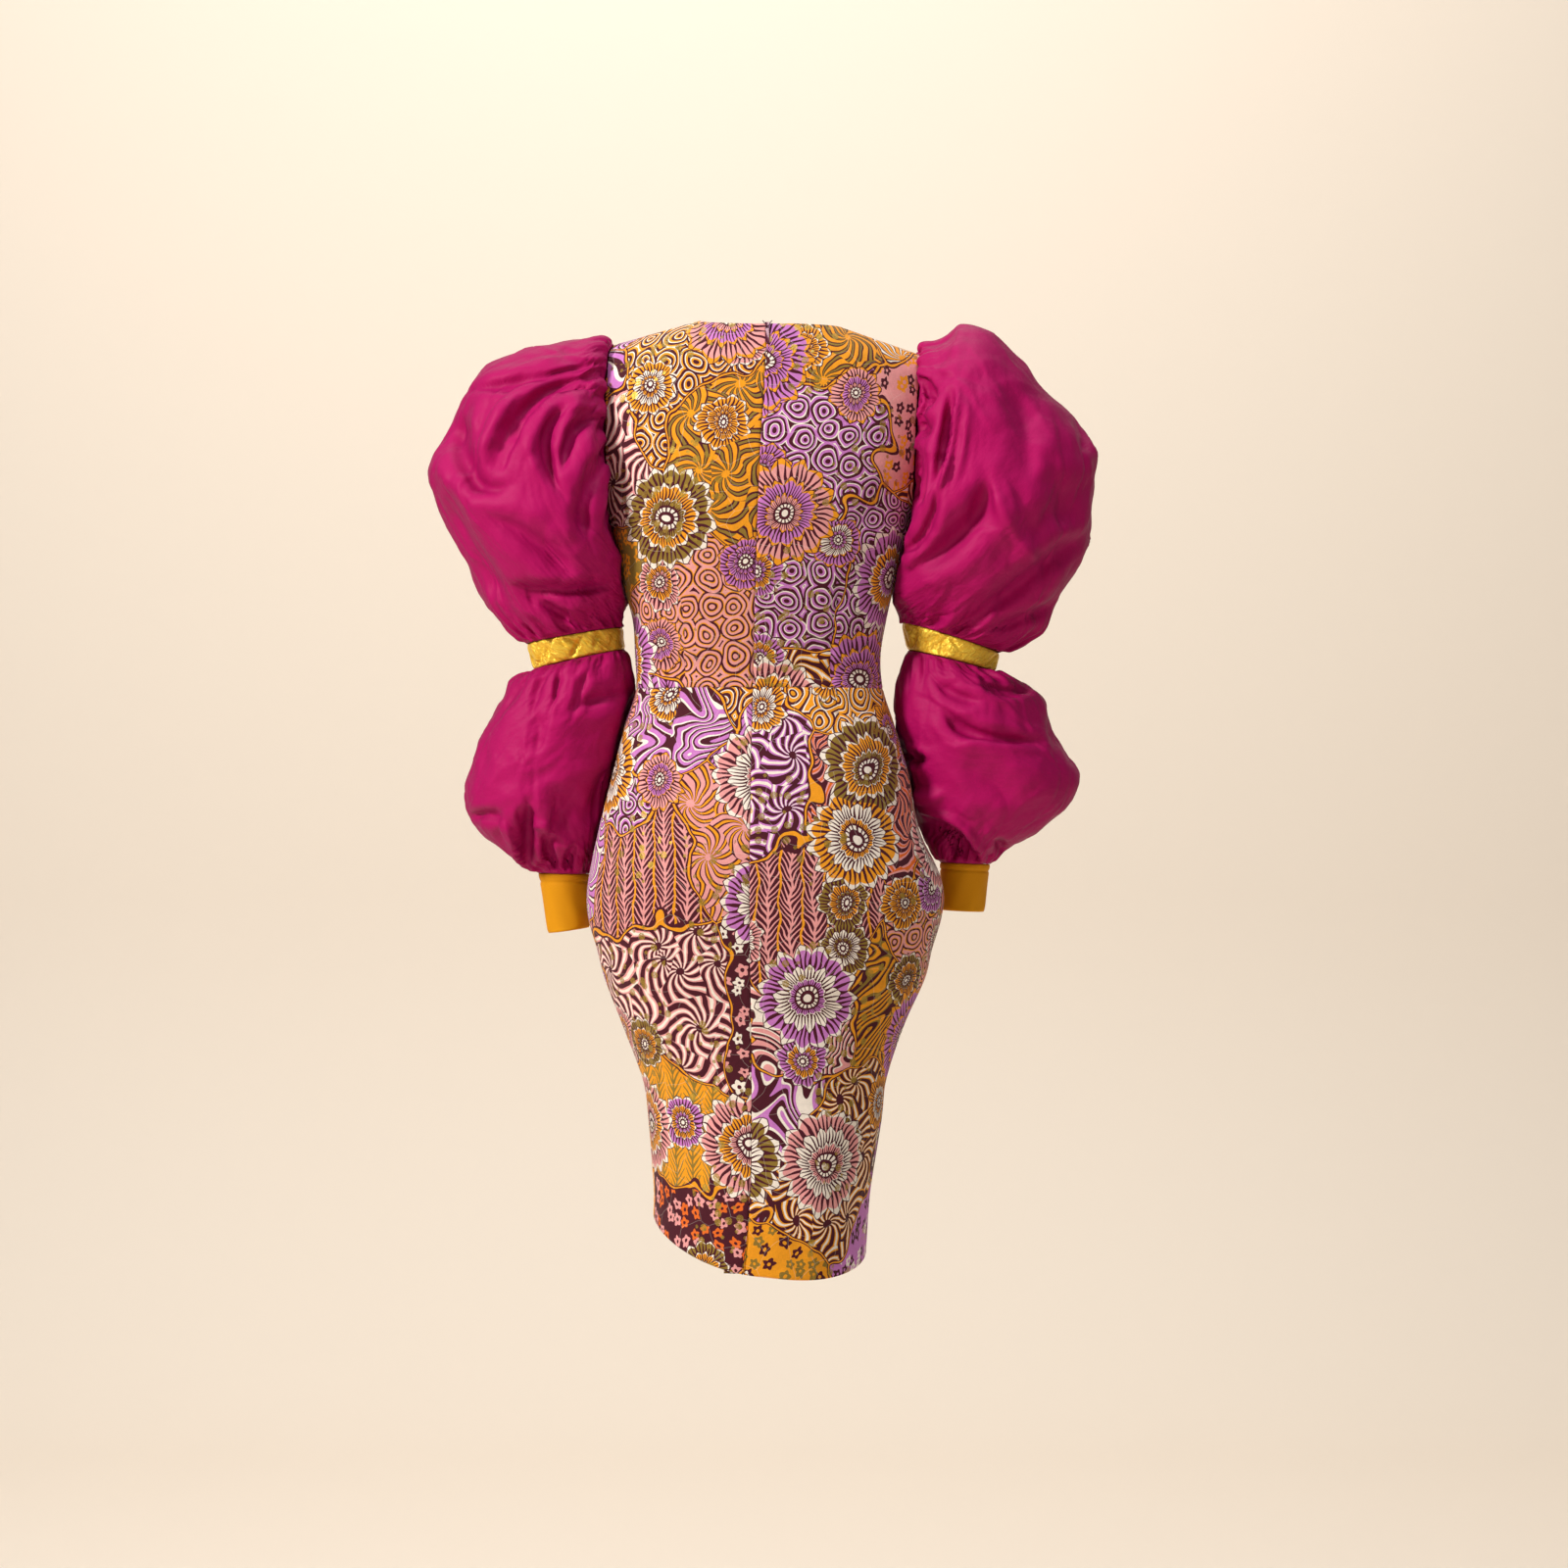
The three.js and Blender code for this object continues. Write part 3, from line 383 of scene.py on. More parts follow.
# Soft drag lines in the body: face, three places in X and Z, width and depth
BODY_FOLDS = [
    [BACK, (-112, -352), (-60, -341), (-8, -347), 9, 2.2],
    [BACK, (118, -346), (66, -336), (22, -340), 8, 2.0],
    [BACK, (-118, -322), (-80, -316), (-40, -321), 8, 1.6],
    [BACK, (121, -316), (92, -306), (58, -308), 9, 1.8],
    [BACK, (-128, -384), (-90, -381), (-48, -388), 9, 2.0],
    [BACK, (134, -386), (96, -380), (50, -384), 9, 1.8],
    [BACK, (-146, -207), (-104, -240), (-72, -292), 11, 2.2],
    [BACK, (148, -209), (112, -246), (84, -298), 12, 2.4],
    [BACK, (-150, -150), (-118, -172), (-92, -214), 12, 1.8],
    [BACK, (152, -140), (124, -166), (98, -204), 11, 1.6],
    [BACK, (-98, -44), (-62, -52), (-24, -46), 14, 1.4],
    [BACK, (86, -36), (54, -48), (16, -44), 13, 1.4],
    [BACK, (-150, -660), (-86, -684), (-14, -676), 16, 2.6],
    [BACK, (152, -652), (88, -676), (22, -668), 15, 2.4],
    [BACK, (-128, -742), (-76, -764), (-10, -752), 14, 2.0],
    [BACK, (122, -728), (74, -748), (26, -742), 14, 2.2],
    [BACK, (-104, -930), (-92, -860), (-98, -780), 12, 2.2],
    [BACK, (88, -925), (76, -862), (84, -792), 12, 2.0],
    [BACK, (-40, -938), (-34, -884), (-30, -836), 12, 2.0],
    [FRONT, (-112, -352), (-64, -340), (-12, -346), 9, 2.0],
    [FRONT, (118, -350), (60, -338), (10, -344), 9, 2.2],
    [FRONT, (-126, -384), (-88, -378), (-44, -386), 9, 1.8],
    [FRONT, (132, -388), (90, -380), (40, -386), 9, 2.0],
    [FRONT, (-146, -204), (-122, -190), (-104, -176), 10, 1.8],
    [FRONT, (148, -206), (126, -192), (106, -178), 10, 1.8],
    [FRONT, (-148, -655), (-70, -682), (0, -672), 16, 2.2],
    [FRONT, (150, -648), (76, -672), (8, -664), 15, 2.4],
    [FRONT, (60, -930), (50, -850), (56, -770), 14, 2.4],
    [FRONT, (-66, -926), (-56, -846), (-62, -772), 14, 2.2],
    [FRONT, (0, -740), (-40, -752), (-90, -744), 13, 1.8],
]
# Back darts: X at the waist, length down or up from it, and the cloth taken at the waist
SKIRT_DARTS = {"left": (81, 66, 17), "right": (-74, 66, 17)}
BODICE_DARTS = {"left": (78, 118, 15), "right": (-72, 118, 15)}
DART_TURN_IN = 1.3


def nearest_column(grid, row, x):
    return int(np.argmin(np.abs(grid[row, :, 0] - x)))


# A dart is a stitched line down one column: cloth rolls in beside it, and the flat cut jumps.
def darted(grid, ways, column, height, length, taken):
    fade = np.clip(1 - np.abs(height) / length, 0, 1)
    across = run_along(grid, 1)
    away = np.abs(across - across[:, column:column + 1])
    groove = DART_TURN_IN * smooth(fade, 0, 0.25)[:, None] * np.clip(1 - away / 4, 0, 1) ** 2
    return grid - ways * groove[..., None], (column, taken * fade)


def with_folds(grid, ways, folds):
    inside = smooth(np.min(from_edges(grid), axis=0), 0, FOLD_MARGIN)
    depth = sum(fold_depth(grid, ways, *fold) for fold in folds)
    return grid - ways * (depth * inside)[..., None]


# A colour from its sRGB code, made linear
def colour(code):
    parts = [int(code[i:i + 2], 16) / 255 for i in (1, 3, 5)]
    return (*[p / 12.92 if p <= 0.04045 else ((p + 0.055) / 1.055) ** 2.4 for p in parts], 1)


# Adds one node with its settings and links. A kind may name its choice after a dot, such as
# Math.ADD, and patterns lie flat. It gives the first output, the one named in take, or all.
CHOICES = {"Math": "operation", "VectorMath": "operation", "Mix": "data_type"}
MIX_INPUTS = {"FLOAT": (0, 2, 3), "RGBA": (0, 6, 7)}


def add(tree, kind, *inputs, take=0, ramp=(), **settings):
    kind, _, choice = kind.partition(".")
    node = tree.nodes.new("ShaderNode" + kind)
    if choice:
        settings[CHOICES[kind]] = choice
    if kind in ("TexNoise", "TexVoronoi"):
        settings[kind[3:].lower() + "_dimensions"] = "2D"
    for name, value in settings.items():
        setattr(node, name, value)
    for k, (start, dye) in enumerate(ramp):
        node.color_ramp.interpolation = "CONSTANT"
        stops = node.color_ramp.elements
        stop = stops[k] if k < 2 else stops.new(start)
        stop.position, stop.color = start, dye
    if inputs and isinstance(inputs[0], dict):
        pairs = inputs[0].items()
    else:
        pairs = zip(MIX_INPUTS.get(choice, range(len(inputs))), inputs)
    for key, value in pairs:
        if isinstance(value, bpy.types.NodeSocket):
            tree.links.new(value, node.inputs[key])
        else:
            node.inputs[key].default_value = value
    if take == "all":
        return node.outputs
    return node.outputs[2 if choice == "RGBA" else take] if node.outputs else None


def new_material(name):
    material = bpy.data.materials.new(name)
    material.use_nodes = True
    material.node_tree.nodes.clear()
    return material, material.node_tree


# A cloth's material, with the place on its flat cut in millimetres
def new_cloth(name):
    material, tree = new_material(name)
    cut = add(tree, "TexCoord", take="UV")
    return material, tree, add(tree, "VectorMath.MULTIPLY", cut, (1 / MM, 1 / MM, 1 / MM))


def finished(obj, material, node, body="dress"):
    obj.data.materials.append(material)
    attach(obj, body)
    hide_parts(node)


# The print: a plain-weave cotton printed edge to edge in the manner of wax resist. Patches of
# ground, each filled with its own small motif, lie under round medallions with dark
# outlines, and over all is a scatter of gold glitter dots.
WINE, AMBER, ORANGE, LILAC = (colour(c) for c in ("#48051A", "#EE9A14", "#E4681A", "#C878C2"))
PEACH, CREAM, OLIVE, GOLD = (colour(c) for c in ("#E89C9A", "#F4E8DA", "#8C7028", "#A98A35"))
print_cloth, tree, place = new_cloth("printed wax cotton")


# Lines cut by hand are never quite even, so every motif is drawn through a slight sway.
def wandering(tree, vector, scale, detail, reach_of_sway):
    sway = add(tree, "TexNoise", {"Vector": place, "Scale": scale, "Detail": detail}, take="Color")
    sway = add(tree, "VectorMath.SUBTRACT", sway, (0.5, 0.5, 0.5))
    sway = add(tree, "VectorMath.MULTIPLY", sway, (reach_of_sway, reach_of_sway, 0))
    return add(tree, "VectorMath.ADD", vector, sway)


swayed = wandering(tree, place, 0.03, 1.5, 13)


# Centres scattered about one size apart: how far the nearest is, the turn about it, and its
# own three chances
def scattered(tree, vector, size, uneven):
    scaled = add(tree, "VectorMath.MULTIPLY", vector, (1 / size, 1 / size, 1 / size))
    centre = add(tree, "TexVoronoi", {"Vector": scaled, "Scale": 1, "Randomness": uneven},
                 take="all")
    beside = add(tree, "VectorMath.SUBTRACT", scaled, centre["Position"])
    side = add(tree, "SeparateXYZ", beside, take="all")
    turn = add(tree, "Math.ARCTAN2", side["Y"], side["X"])
    distance = add(tree, "Math.MULTIPLY", centre["Distance"], size)
    return distance, turn, add(tree, "SeparateColor", centre["Color"], take="all")


# How far the border between two such centres is
def from_border(tree, vector, size, uneven):
    scaled = add(tree, "VectorMath.MULTIPLY", vector, (1 / size, 1 / size, 1 / size))
    border = add(tree, "TexVoronoi", {"Vector": scaled, "Scale": 1, "Randomness": uneven},
                 take="Distance", feature="DISTANCE_TO_EDGE")
    return add(tree, "Math.MULTIPLY", border, size)


# A petal wave round a centre: 1 on each petal's middle and 0 between petals
def petal_wave(tree, angle, count, shift):
    turns = add(tree, "Math.MULTIPLY_ADD", angle, count / TURN, shift)
    part = add(tree, "Math.FRACT", turns)
    both = add(tree, "Math.MULTIPLY_ADD", part, 2, -1)
    return add(tree, "Math.SUBTRACT", 1, add(tree, "Math.ABSOLUTE", both))


# One layer of medallions: rings of pointed petals round a dotted dark centre
def medallions(tree, size, radius, petals, keep, below):
    distance, angle, chances = scattered(tree, swayed, size, 0.72)
    angle = add(tree, "Math.ADD", angle, math.pi)
    wave = petal_wave(tree, angle, petals, 0)
    wave_between = petal_wave(tree, angle, petals, 0.5)
    hue, other, present = chances["Red"], chances["Green"], chances["Blue"]
    petal_colour = add(tree, "ValToRGB", hue, ramp=[
        (0, LILAC), (0.3, PEACH), (0.55, AMBER), (0.78, OLIVE)])
    inner_colour = add(tree, "ValToRGB", other, ramp=[(0, AMBER), (0.35, LILAC), (0.7, CREAM)])
    tip_colour = add(tree, "ValToRGB", other, ramp=[(0, CREAM), (0.45, AMBER), (0.75, CREAM)])
    kept = add(tree, "Math.GREATER_THAN", present, keep)
    edges = []
    for share, swing, this_wave in [
        (1.0, 0.20, wave), (0.66, 0.16, wave_between), (0.40, 0.10, wave),
    ]:
        shaped = add(tree, "Math.POWER", this_wave, 0.62)
        edges.append(add(tree, "Math.MULTIPLY_ADD", shaped, radius * swing, radius * (share - swing)))
    arc = add(tree, "Math.MULTIPLY", distance, math.pi / petals)
    layers = below
    for k, (edge, this_wave) in enumerate(zip(edges, [wave, wave_between, wave])):
        inner = edges[k + 1] if k < 2 else radius * 0.2
        span = add(tree, "Math.SUBTRACT", edge, inner)
        climb = add(tree, "Math.DIVIDE", add(tree, "Math.SUBTRACT", distance, inner), span)
        tint = inner_colour if k == 1 else petal_colour
        rim = add(tree, "Math.GREATER_THAN", climb, 0.74)
        filled = add(tree, "Mix.RGBA", rim, tint, tip_colour)
        fine = petal_wave(tree, angle, petals * 3, 0.5 * (k % 2))
        thin = add(tree, "Math.MULTIPLY_ADD", climb, -0.62, 0.66)
        vein = add(tree, "Math.LESS_THAN", fine, thin)
        filled = add(tree, "Mix.RGBA", vein, filled, WINE)
        from_side = add(tree, "Math.MULTIPLY", this_wave, arc)
        gap = add(tree, "Math.LESS_THAN", from_side, 0.75)
        outline = add(tree, "Math.LESS_THAN", add(tree, "Math.SUBTRACT", edge, distance), 1.1)
        dark = add(tree, "Math.MAXIMUM", gap, outline)
        filled = add(tree, "Mix.RGBA", dark, filled, WINE)
        inside = add(tree, "Math.LESS_THAN", distance, edge)
        inside = add(tree, "Math.MULTIPLY", inside, kept)
        layers = add(tree, "Mix.RGBA", inside, layers, filled)
    eye = add(tree, "Math.MULTIPLY", add(tree, "Math.LESS_THAN", distance, radius * 0.235), kept)
    layers = add(tree, "Mix.RGBA", eye, layers, WINE)
    off_ring = add(tree, "Math.ABSOLUTE", add(tree, "Math.SUBTRACT", distance, radius * 0.165))
    bead = add(tree, "Math.GREATER_THAN", petal_wave(tree, angle, petals, 0.2), 0.38)
    ring = add(tree, "Math.LESS_THAN", off_ring, radius * 0.032)
    core = add(tree, "Math.LESS_THAN", distance, radius * 0.07)
    beads = add(tree, "Math.MAXIMUM", add(tree, "Math.MULTIPLY", ring, bead), core)
    beads = add(tree, "Math.MULTIPLY", beads, kept)
    return add(tree, "Mix.RGBA", beads, layers, CREAM)


# Ground patches with wandering edges and their own chances, told apart by cell
roamed = wandering(tree, swayed, 0.0095, 2, 110)
_, _, patch = scattered(tree, roamed, 132, 0.9)
patch_edge = from_border(tree, roamed, 132, 0.9)
ground = add(tree, "ValToRGB", patch["Red"], ramp=[
    (0, WINE), (0.38, AMBER), (0.50, WINE), (0.74, LILAC), (0.83, PEACH), (0.92, OLIVE)])
first_ink = add(tree, "ValToRGB", patch["Red"], ramp=[
    (0, AMBER), (0.17, LILAC), (0.38, WINE), (0.50, PEACH), (0.74, WINE), (0.92, AMBER)])
second_ink = add(tree, "ValToRGB", patch["Red"], ramp=[
    (0, CREAM), (0.38, CREAM), (0.44, OLIVE), (0.50, ORANGE), (0.66, CREAM), (0.83, AMBER)])

# Fill 1: nested rings, as on a tortoise shell
rings_at, _, _ = scattered(tree, swayed, 27, 0.35)
ring_wave = add(tree, "Math.MULTIPLY", rings_at, 1 / 5.2)
ring_wave = add(tree, "Math.FRACT", ring_wave)

# Fill 2: feathers, a spine with slanting barbs
along = add(tree, "SeparateXYZ", swayed, take="all")
column = add(tree, "Math.FRACT", add(tree, "Math.MULTIPLY", along["X"], 1 / 23))
from_spine = add(tree, "Math.ABSOLUTE", add(tree, "Math.SUBTRACT", column, 0.5))
slant = add(tree, "Math.MULTIPLY_ADD", from_spine, 30, along["Y"])
barb = add(tree, "Math.FRACT", add(tree, "Math.MULTIPLY", slant, 1 / 7.5))
barb_limit = add(tree, "Math.MULTIPLY_ADD", from_spine, -0.7, 0.82)
barb_on = add(tree, "Math.LESS_THAN", barb, barb_limit)
spine_on = add(tree, "Math.LESS_THAN", from_spine, 0.045)
between = add(tree, "Math.LESS_THAN", from_spine, 0.455)
feather = add(tree, "Math.MAXIMUM", add(tree, "Math.MULTIPLY", barb_on, 0.5), spine_on)
feather = add(tree, "Math.MULTIPLY", feather, between)

# Fill 3: bursts of curved rays
burst_r, burst_angle, _ = scattered(tree, swayed, 46, 0.8)
curl = add(tree, "Math.MULTIPLY_ADD", burst_r, 0.035, burst_angle)
ray = petal_wave(tree, curl, 11, 0)
ray_on = add(tree, "Math.GREATER_THAN", ray, 0.46)
ray_core = add(tree, "Math.GREATER_THAN", ray, 0.76)
hub = add(tree, "Math.GREATER_THAN", burst_r, 4.2)
burst = add(tree, "Math.MULTIPLY", add(tree, "Math.ADD", ray_on, ray_core), 0.5)
burst = add(tree, "Math.MULTIPLY", burst, hub)

# Fill 4: small five-petalled flowers with an eye
bloom_r, bloom_angle, bloom_chance = scattered(tree, swayed, 15, 0.75)
bloom_edge = add(tree, "Math.MULTIPLY_ADD", petal_wave(tree, bloom_angle, 5, 0.5), 2.6, 3.8)
bloom_in = add(tree, "Math.LESS_THAN", bloom_r, bloom_edge)
bloom_eye = add(tree, "Math.LESS_THAN", bloom_r, 1.7)
bloom_tint = add(tree, "Math.GREATER_THAN", bloom_chance["Red"], 0.5)
bloom = add(tree, "Math.MULTIPLY", add(tree, "Math.MULTIPLY_ADD", bloom_tint, 0.5, 0.5),
            bloom_in)
bloom = add(tree, "Math.SUBTRACT", bloom, add(tree, "Math.MULTIPLY", bloom_eye, 0.9))

# Fill 5: nested bands that follow a slow swell, like cut agate
swell = add(tree, "TexNoise", {"Vector": place, "Scale": 0.013, "Detail": 1.5, "Distortion": 0.6})
bands_at = add(tree, "Math.FRACT", add(tree, "Math.MULTIPLY", swell, 15))

fill = ring_wave
for low, motif in [(0.22, feather), (0.42, burst), (0.66, bloom), (0.86, bands_at)]:
    chosen = add(tree, "Math.GREATER_THAN", patch["Green"], low)
    fill = add(tree, "Mix.FLOAT", chosen, fill, motif)
first_on = add(tree, "Math.GREATER_THAN", fill, 0.47)
second_on = add(tree, "Math.GREATER_THAN", fill, 0.82)
drawn = add(tree, "Mix.RGBA", first_on, ground, first_ink)
drawn = add(tree, "Mix.RGBA", second_on, drawn, second_ink)
at_edge = add(tree, "Math.LESS_THAN", patch_edge, 2.6)
drawn = add(tree, "Mix.RGBA", at_edge, drawn, WINE)
at_line = add(tree, "Math.LESS_THAN", patch_edge, 1.0)
drawn = add(tree, "Mix.RGBA", at_line, drawn, AMBER)
drawn = medallions(tree, 78, 29, 12, 0.42, drawn)
drawn = medallions(tree, 152, 54, 15, 0.18, drawn)

# Wax cracks: fine pale lines where the dye crept
crack = from_border(tree, swayed, 33, 1)
crack_on = add(tree, "Math.LESS_THAN", crack, 0.22)
crack_on = add(tree, "Math.MULTIPLY", crack_on, 0.22)
drawn = add(tree, "Mix.RGBA", crack_on, drawn, CREAM)

# The dye took unevenly, in clouds and yarn by yarn. The yarns are drawn 0.4 mm apart, coarser
# than the real 0.25 mm, so that they show.
cloud = add(tree, "TexNoise", {"Vector": place, "Scale": 0.07, "Detail": 5, "Roughness": 0.7})
warp_way = add(tree, "VectorMath.MULTIPLY", place, (2.6, 0.22, 1))
weft_way = add(tree, "VectorMath.MULTIPLY", place, (0.22, 2.6, 1))
warp, weft = (add(tree, "TexNoise", {"Vector": way, "Scale": 1, "Detail": 2})
              for way in (warp_way, weft_way))
yarns = add(tree, "Math.ADD", warp, weft)
uneven = add(tree, "Math.ADD", add(tree, "Math.MULTIPLY", yarns, 0.34),
             add(tree, "Math.MULTIPLY", cloud, 0.36))
shade = add(tree, "Math.MULTIPLY_ADD", uneven, 1, 0.45)
shade = add(tree, "CombineColor", shade, shade, shade)
drawn = add(tree, "Mix.RGBA", 1.0, drawn, shade, blend_type="MULTIPLY")

# Gold dots of two sizes, thick in some places and absent in others
dot_r, _, dot_chance = scattered(tree, place, 13.5, 1)
dot_size = add(tree, "Math.MULTIPLY_ADD", add(tree, "Math.GREATER_THAN", dot_chance["Red"], 0.55),
               1.8, 1.85)
drift = add(tree, "TexNoise", {"Vector": place, "Scale": 0.011, "Detail": 1})
dot_here = add(tree, "Math.GREATER_THAN", drift, 0.53)
dot_on = add(tree, "Math.MULTIPLY", add(tree, "Math.LESS_THAN", dot_r, dot_size), dot_here)
sparkle = add(tree, "TexNoise", {"Vector": place, "Scale": 1.6, "Detail": 2})
dot_cover = add(tree, "Math.MULTIPLY", add(tree, "Math.GREATER_THAN", sparkle, 0.44), dot_on)
drawn = add(tree, "Mix.RGBA", dot_cover, drawn, GOLD)

weave_bump = add(tree, "Bump", {"Strength": 0.35, "Distance": 0.0003, "Height": yarns})
gold_metal = add(tree, "Math.MULTIPLY", dot_cover, 0.65)
gold_rough = add(tree, "Math.MULTIPLY_ADD", dot_cover, -0.42, 0.82)
surface = add(tree, "BsdfPrincipled", {
    "Base Color": drawn, "Metallic": gold_metal, "Roughness": gold_rough, "Normal": weave_bump,
    "Specular IOR Level": 0.25, "Sheen Weight": 0.05, "Sheen Roughness": 0.6})
add(tree, "OutputMaterial", surface)

# Where each piece was laid on the printed cloth, in metres
CUT_PLACES = {
    "bodice_back_left": (0.31, 1.12), "bodice_back_right": (0.94, 0.41),
    "bodice_front": (2.22, 0.63), "skirt_back_left": (1.57, 2.05),
    "skirt_back_right": (0.58, 1.83), "skirt_front": (3.05, 1.71), "vent_underlap": (4.02, 0.35),
}
TOP, BOTTOM, FIRST_SIDE, LAST_SIDE = range(4)
ALL_EDGES = (TOP, BOTTOM, FIRST_SIDE, LAST_SIDE)


def body_piece(name, grid, darts=(), turned_edges=ALL_EDGES):
    middles = grid * [0, 0, 1]
    ways = grid_normals(grid, middles, False)
    grid = with_folds(grid, ways, BODY_FOLDS)
    jumps = []
    for dart in darts:
        grid, jump = darted(grid, ways, *dart)
        jumps.append(jump)
    grid = rolled(grid, ways, turned_edges)
    across = run_along(grid, 1)
    middle = grid.shape[1] // 2 if name.endswith("front") else 0
    u = across - across[:, middle:middle + 1]
    v = mix(grid[..., 2], grid[:, middle:middle + 1, 2], 0.5)
    flat = np.stack([u, v], axis=-1) + np.array(CUT_PLACES[name]) / MM
    obj = cloth_mesh(name + "_cloth", grid, middles, flat, jumps=jumps)
    finished(obj, print_cloth, name)


for name, shoulder in SHOULDERS.items():
    side = shoulder["side"]
    shares = crowded(52, 160)
    rows = crowded(104, 370)[::-1] * (SIDE_ROWS + ARMHOLE_ROWS)
    share, row = np.meshgrid(shares, rows)
    grid = bodice_point(shoulder, BACK, share, row)
    dart_x, dart_long, dart_taken = BODICE_DARTS[name]
    column = nearest_column(grid, -1, dart_x)
    rise = grid[:, column, 2] - WAIST_Z
    body_piece(f"bodice_back_{name}", grid, [(column, rise, dart_long, dart_taken)])

    shares = crowded(58, 200)
    downs = crowded(150, 570)
    share, down = np.meshgrid(shares, downs)
    grid = skirt_back_point(side, share, down)
    dart_x, dart_long, dart_taken = SKIRT_DARTS[name]
    column = nearest_column(grid, 0, dart_x)
    fall = WAIST_Z - grid[:, column, 2]
    body_piece(f"skirt_back_{name}", grid, [(column, fall, dart_long, dart_taken)])

half_shares = crowded(52, 160, low=False)
rows = crowded(104, 300)[::-1] * (SIDE_ROWS + ARMHOLE_ROWS)
share, row = np.meshgrid(half_shares, rows)
left_half = bodice_point(SHOULDERS["left"], FRONT, share, row)[:, ::-1]
right_half = bodice_point(SHOULDERS["right"], FRONT, share, row)
body_piece("bodice_front", np.concatenate([left_half, right_half[:, 1:]], axis=1))

share, down = np.meshgrid(crowded(110, 400), crowded(150, 570))
body_piece("skirt_front", skirt_front_point(share, down))

# Vent underlap
# A strip of the same print, hemmed at its lower end and sewn under both back edges, so that
# the vent can open over it.
LAP_HALF, LAP_ABOVE, LAP_SHORT, LAP_IN = 20, 12, 3, 2.5
share, down = np.meshgrid(crowded(14, 40), crowded(44, 120))
lap_z = mix(VENT_TOP_Z + LAP_ABOVE, hem_z(0) + LAP_SHORT, down)
lap_x = column_at(CENTRE_BACK, 1, lap_z) + LAP_HALF * (2 * share - 1)
lap = np.stack([lap_x, body_depth(lap_x, lap_z, BACK), lap_z], axis=-1)
lap -= grid_normals(lap, lap * [0, 0, 1], False) * LAP_IN
body_piece("vent_underlap", lap, turned_edges=(BOTTOM,))

# Puff sleeves
# Each sleeve is crisp magenta taffeta in two puffs, gathered into the armhole, both edges of
# the elbow band and the cuff. The folds hold themselves up because the cloth is stiff.
# Rings: outermost point, innermost point, then the reach in front and behind
SLEEVE_RINGS = {
    "left": {
        "upper": [
            [163, 2, 156, -203, 64, 64],
            [182, 0, 150, -220, 82, 86],
            [215, -5, 141, -236, 95, 100],
            [250, -15, 137, -246, 104, 108],
            [285, -34, 135, -253, 108, 112],
            [306, -66, 134, -258, 110, 113],
            [325, -105, 134, -262, 108, 112],
            [339, -138, 135, -266, 104, 108],
            [330, -172, 136, -270, 98, 102],
            [316, -204, 138, -275, 90, 94],
            [298, -236, 140, -280, 80, 84],
            [284, -266, 141, -286, 68, 70],
            [262, -293, 142, -291, 55, 56],
        ],
        "band": [
            [240, -312, 142, -295, 44, 44],
            [236, -326, 142, -307, 43.5, 43.5],
            [233, -338, 140, -317, 43, 43],
        ],
        "lower": [
            [254, -348, 132, -330, 58, 60],
            [266, -368, 129, -356, 66, 70],
            [282, -395, 132, -385, 72, 76],
            [296, -428, 139, -418, 76, 80],
            [305, -462, 147, -452, 78, 81],
            [303, -488, 155, -485, 74, 76],
            [286, -508, 163, -510, 62, 64],
            [262, -527, 170, -530, 46, 47],
        ],
        "cuff": [
            [231, -547, 178, -548, 29, 29],
            [226, -577, 178, -575, 28.5, 28.5],
            [221, -609, 178, -603, 28, 28],
        ],
    },
    "right": {
        "upper": [
            [164, -8, 154, -205, 64, 64],
            [184, 0, 148, -222, 82, 86],
            [206, 13, 139, -234, 98, 102],
            [234, 7, 135, -244, 106, 110],
            [262, -22, 133, -251, 110, 114],
            [292, -57, 132, -257, 111, 115],
            [324, -84, 132, -262, 110, 114],
            [341, -120, 133, -266, 107, 111],
            [337, -160, 134, -270, 102, 106],
            [335, -200, 136, -274, 94, 98],
            [322, -235, 138, -278, 84, 88],
            [300, -268, 140, -282, 72, 75],
            [284, -300, 142, -286, 58, 60],
        ],
        "band": [
            [243, -321, 144, -290, 44, 44],
            [241, -331, 147, -304, 43.5, 43.5],
            [239, -340, 150, -318, 43, 43],
        ],
        "lower": [
            [266, -352, 141, -342, 60, 62],
            [288, -368, 136, -366, 70, 73],
            [297, -396, 137, -394, 76, 80],
            [312, -422, 140, -422, 80, 84],
            [327, -447, 144, -450, 82, 85],
            [318, -474, 152, -478, 76, 78],
            [288, -502, 164, -502, 62, 64],
            [256, -520, 175, -520, 44, 46],
        ],
        "cuff": [
            [236, -538, 184, -536, 29, 29],
            [233, -562, 185, -560, 28.5, 28.5],
            [230, -587, 185, -585, 28, 28],
        ],
    },
}
# The sleeve's middle line: height and Y
SLEEVE_Y = np.array([
    [0, 0],
    [-100, -1],
    [-200, -5],
    [-320, -14],
    [-440, -32],
    [-560, -49],
    [-620, -52],
])
BODY_CLEARANCE, RING_GAP, ARMHOLE_GAP, HEAD_CROWDING = 3, 0.4, 0.5, 0.35


def clear_of_body(points, clearance=BODY_CLEARANCE):
    x, y, z = points[..., 0], points[..., 1], points[..., 2]
    half = reach(LEFT, RIGHT, x >= 0, z) + clearance
    depth = reach(BEHIND, AHEAD, y >= 0, z) + clearance
    away = ((np.abs(x) / half) ** ROUNDNESS + (np.abs(y) / depth) ** ROUNDNESS) ** (1 / ROUNDNESS)
    scale = np.where((away < 1) & (z <= UNDERARM_Z), 1 / np.maximum(away, 1e-6), 1)
    return points * np.stack([scale, scale, np.ones_like(scale)], axis=-1)


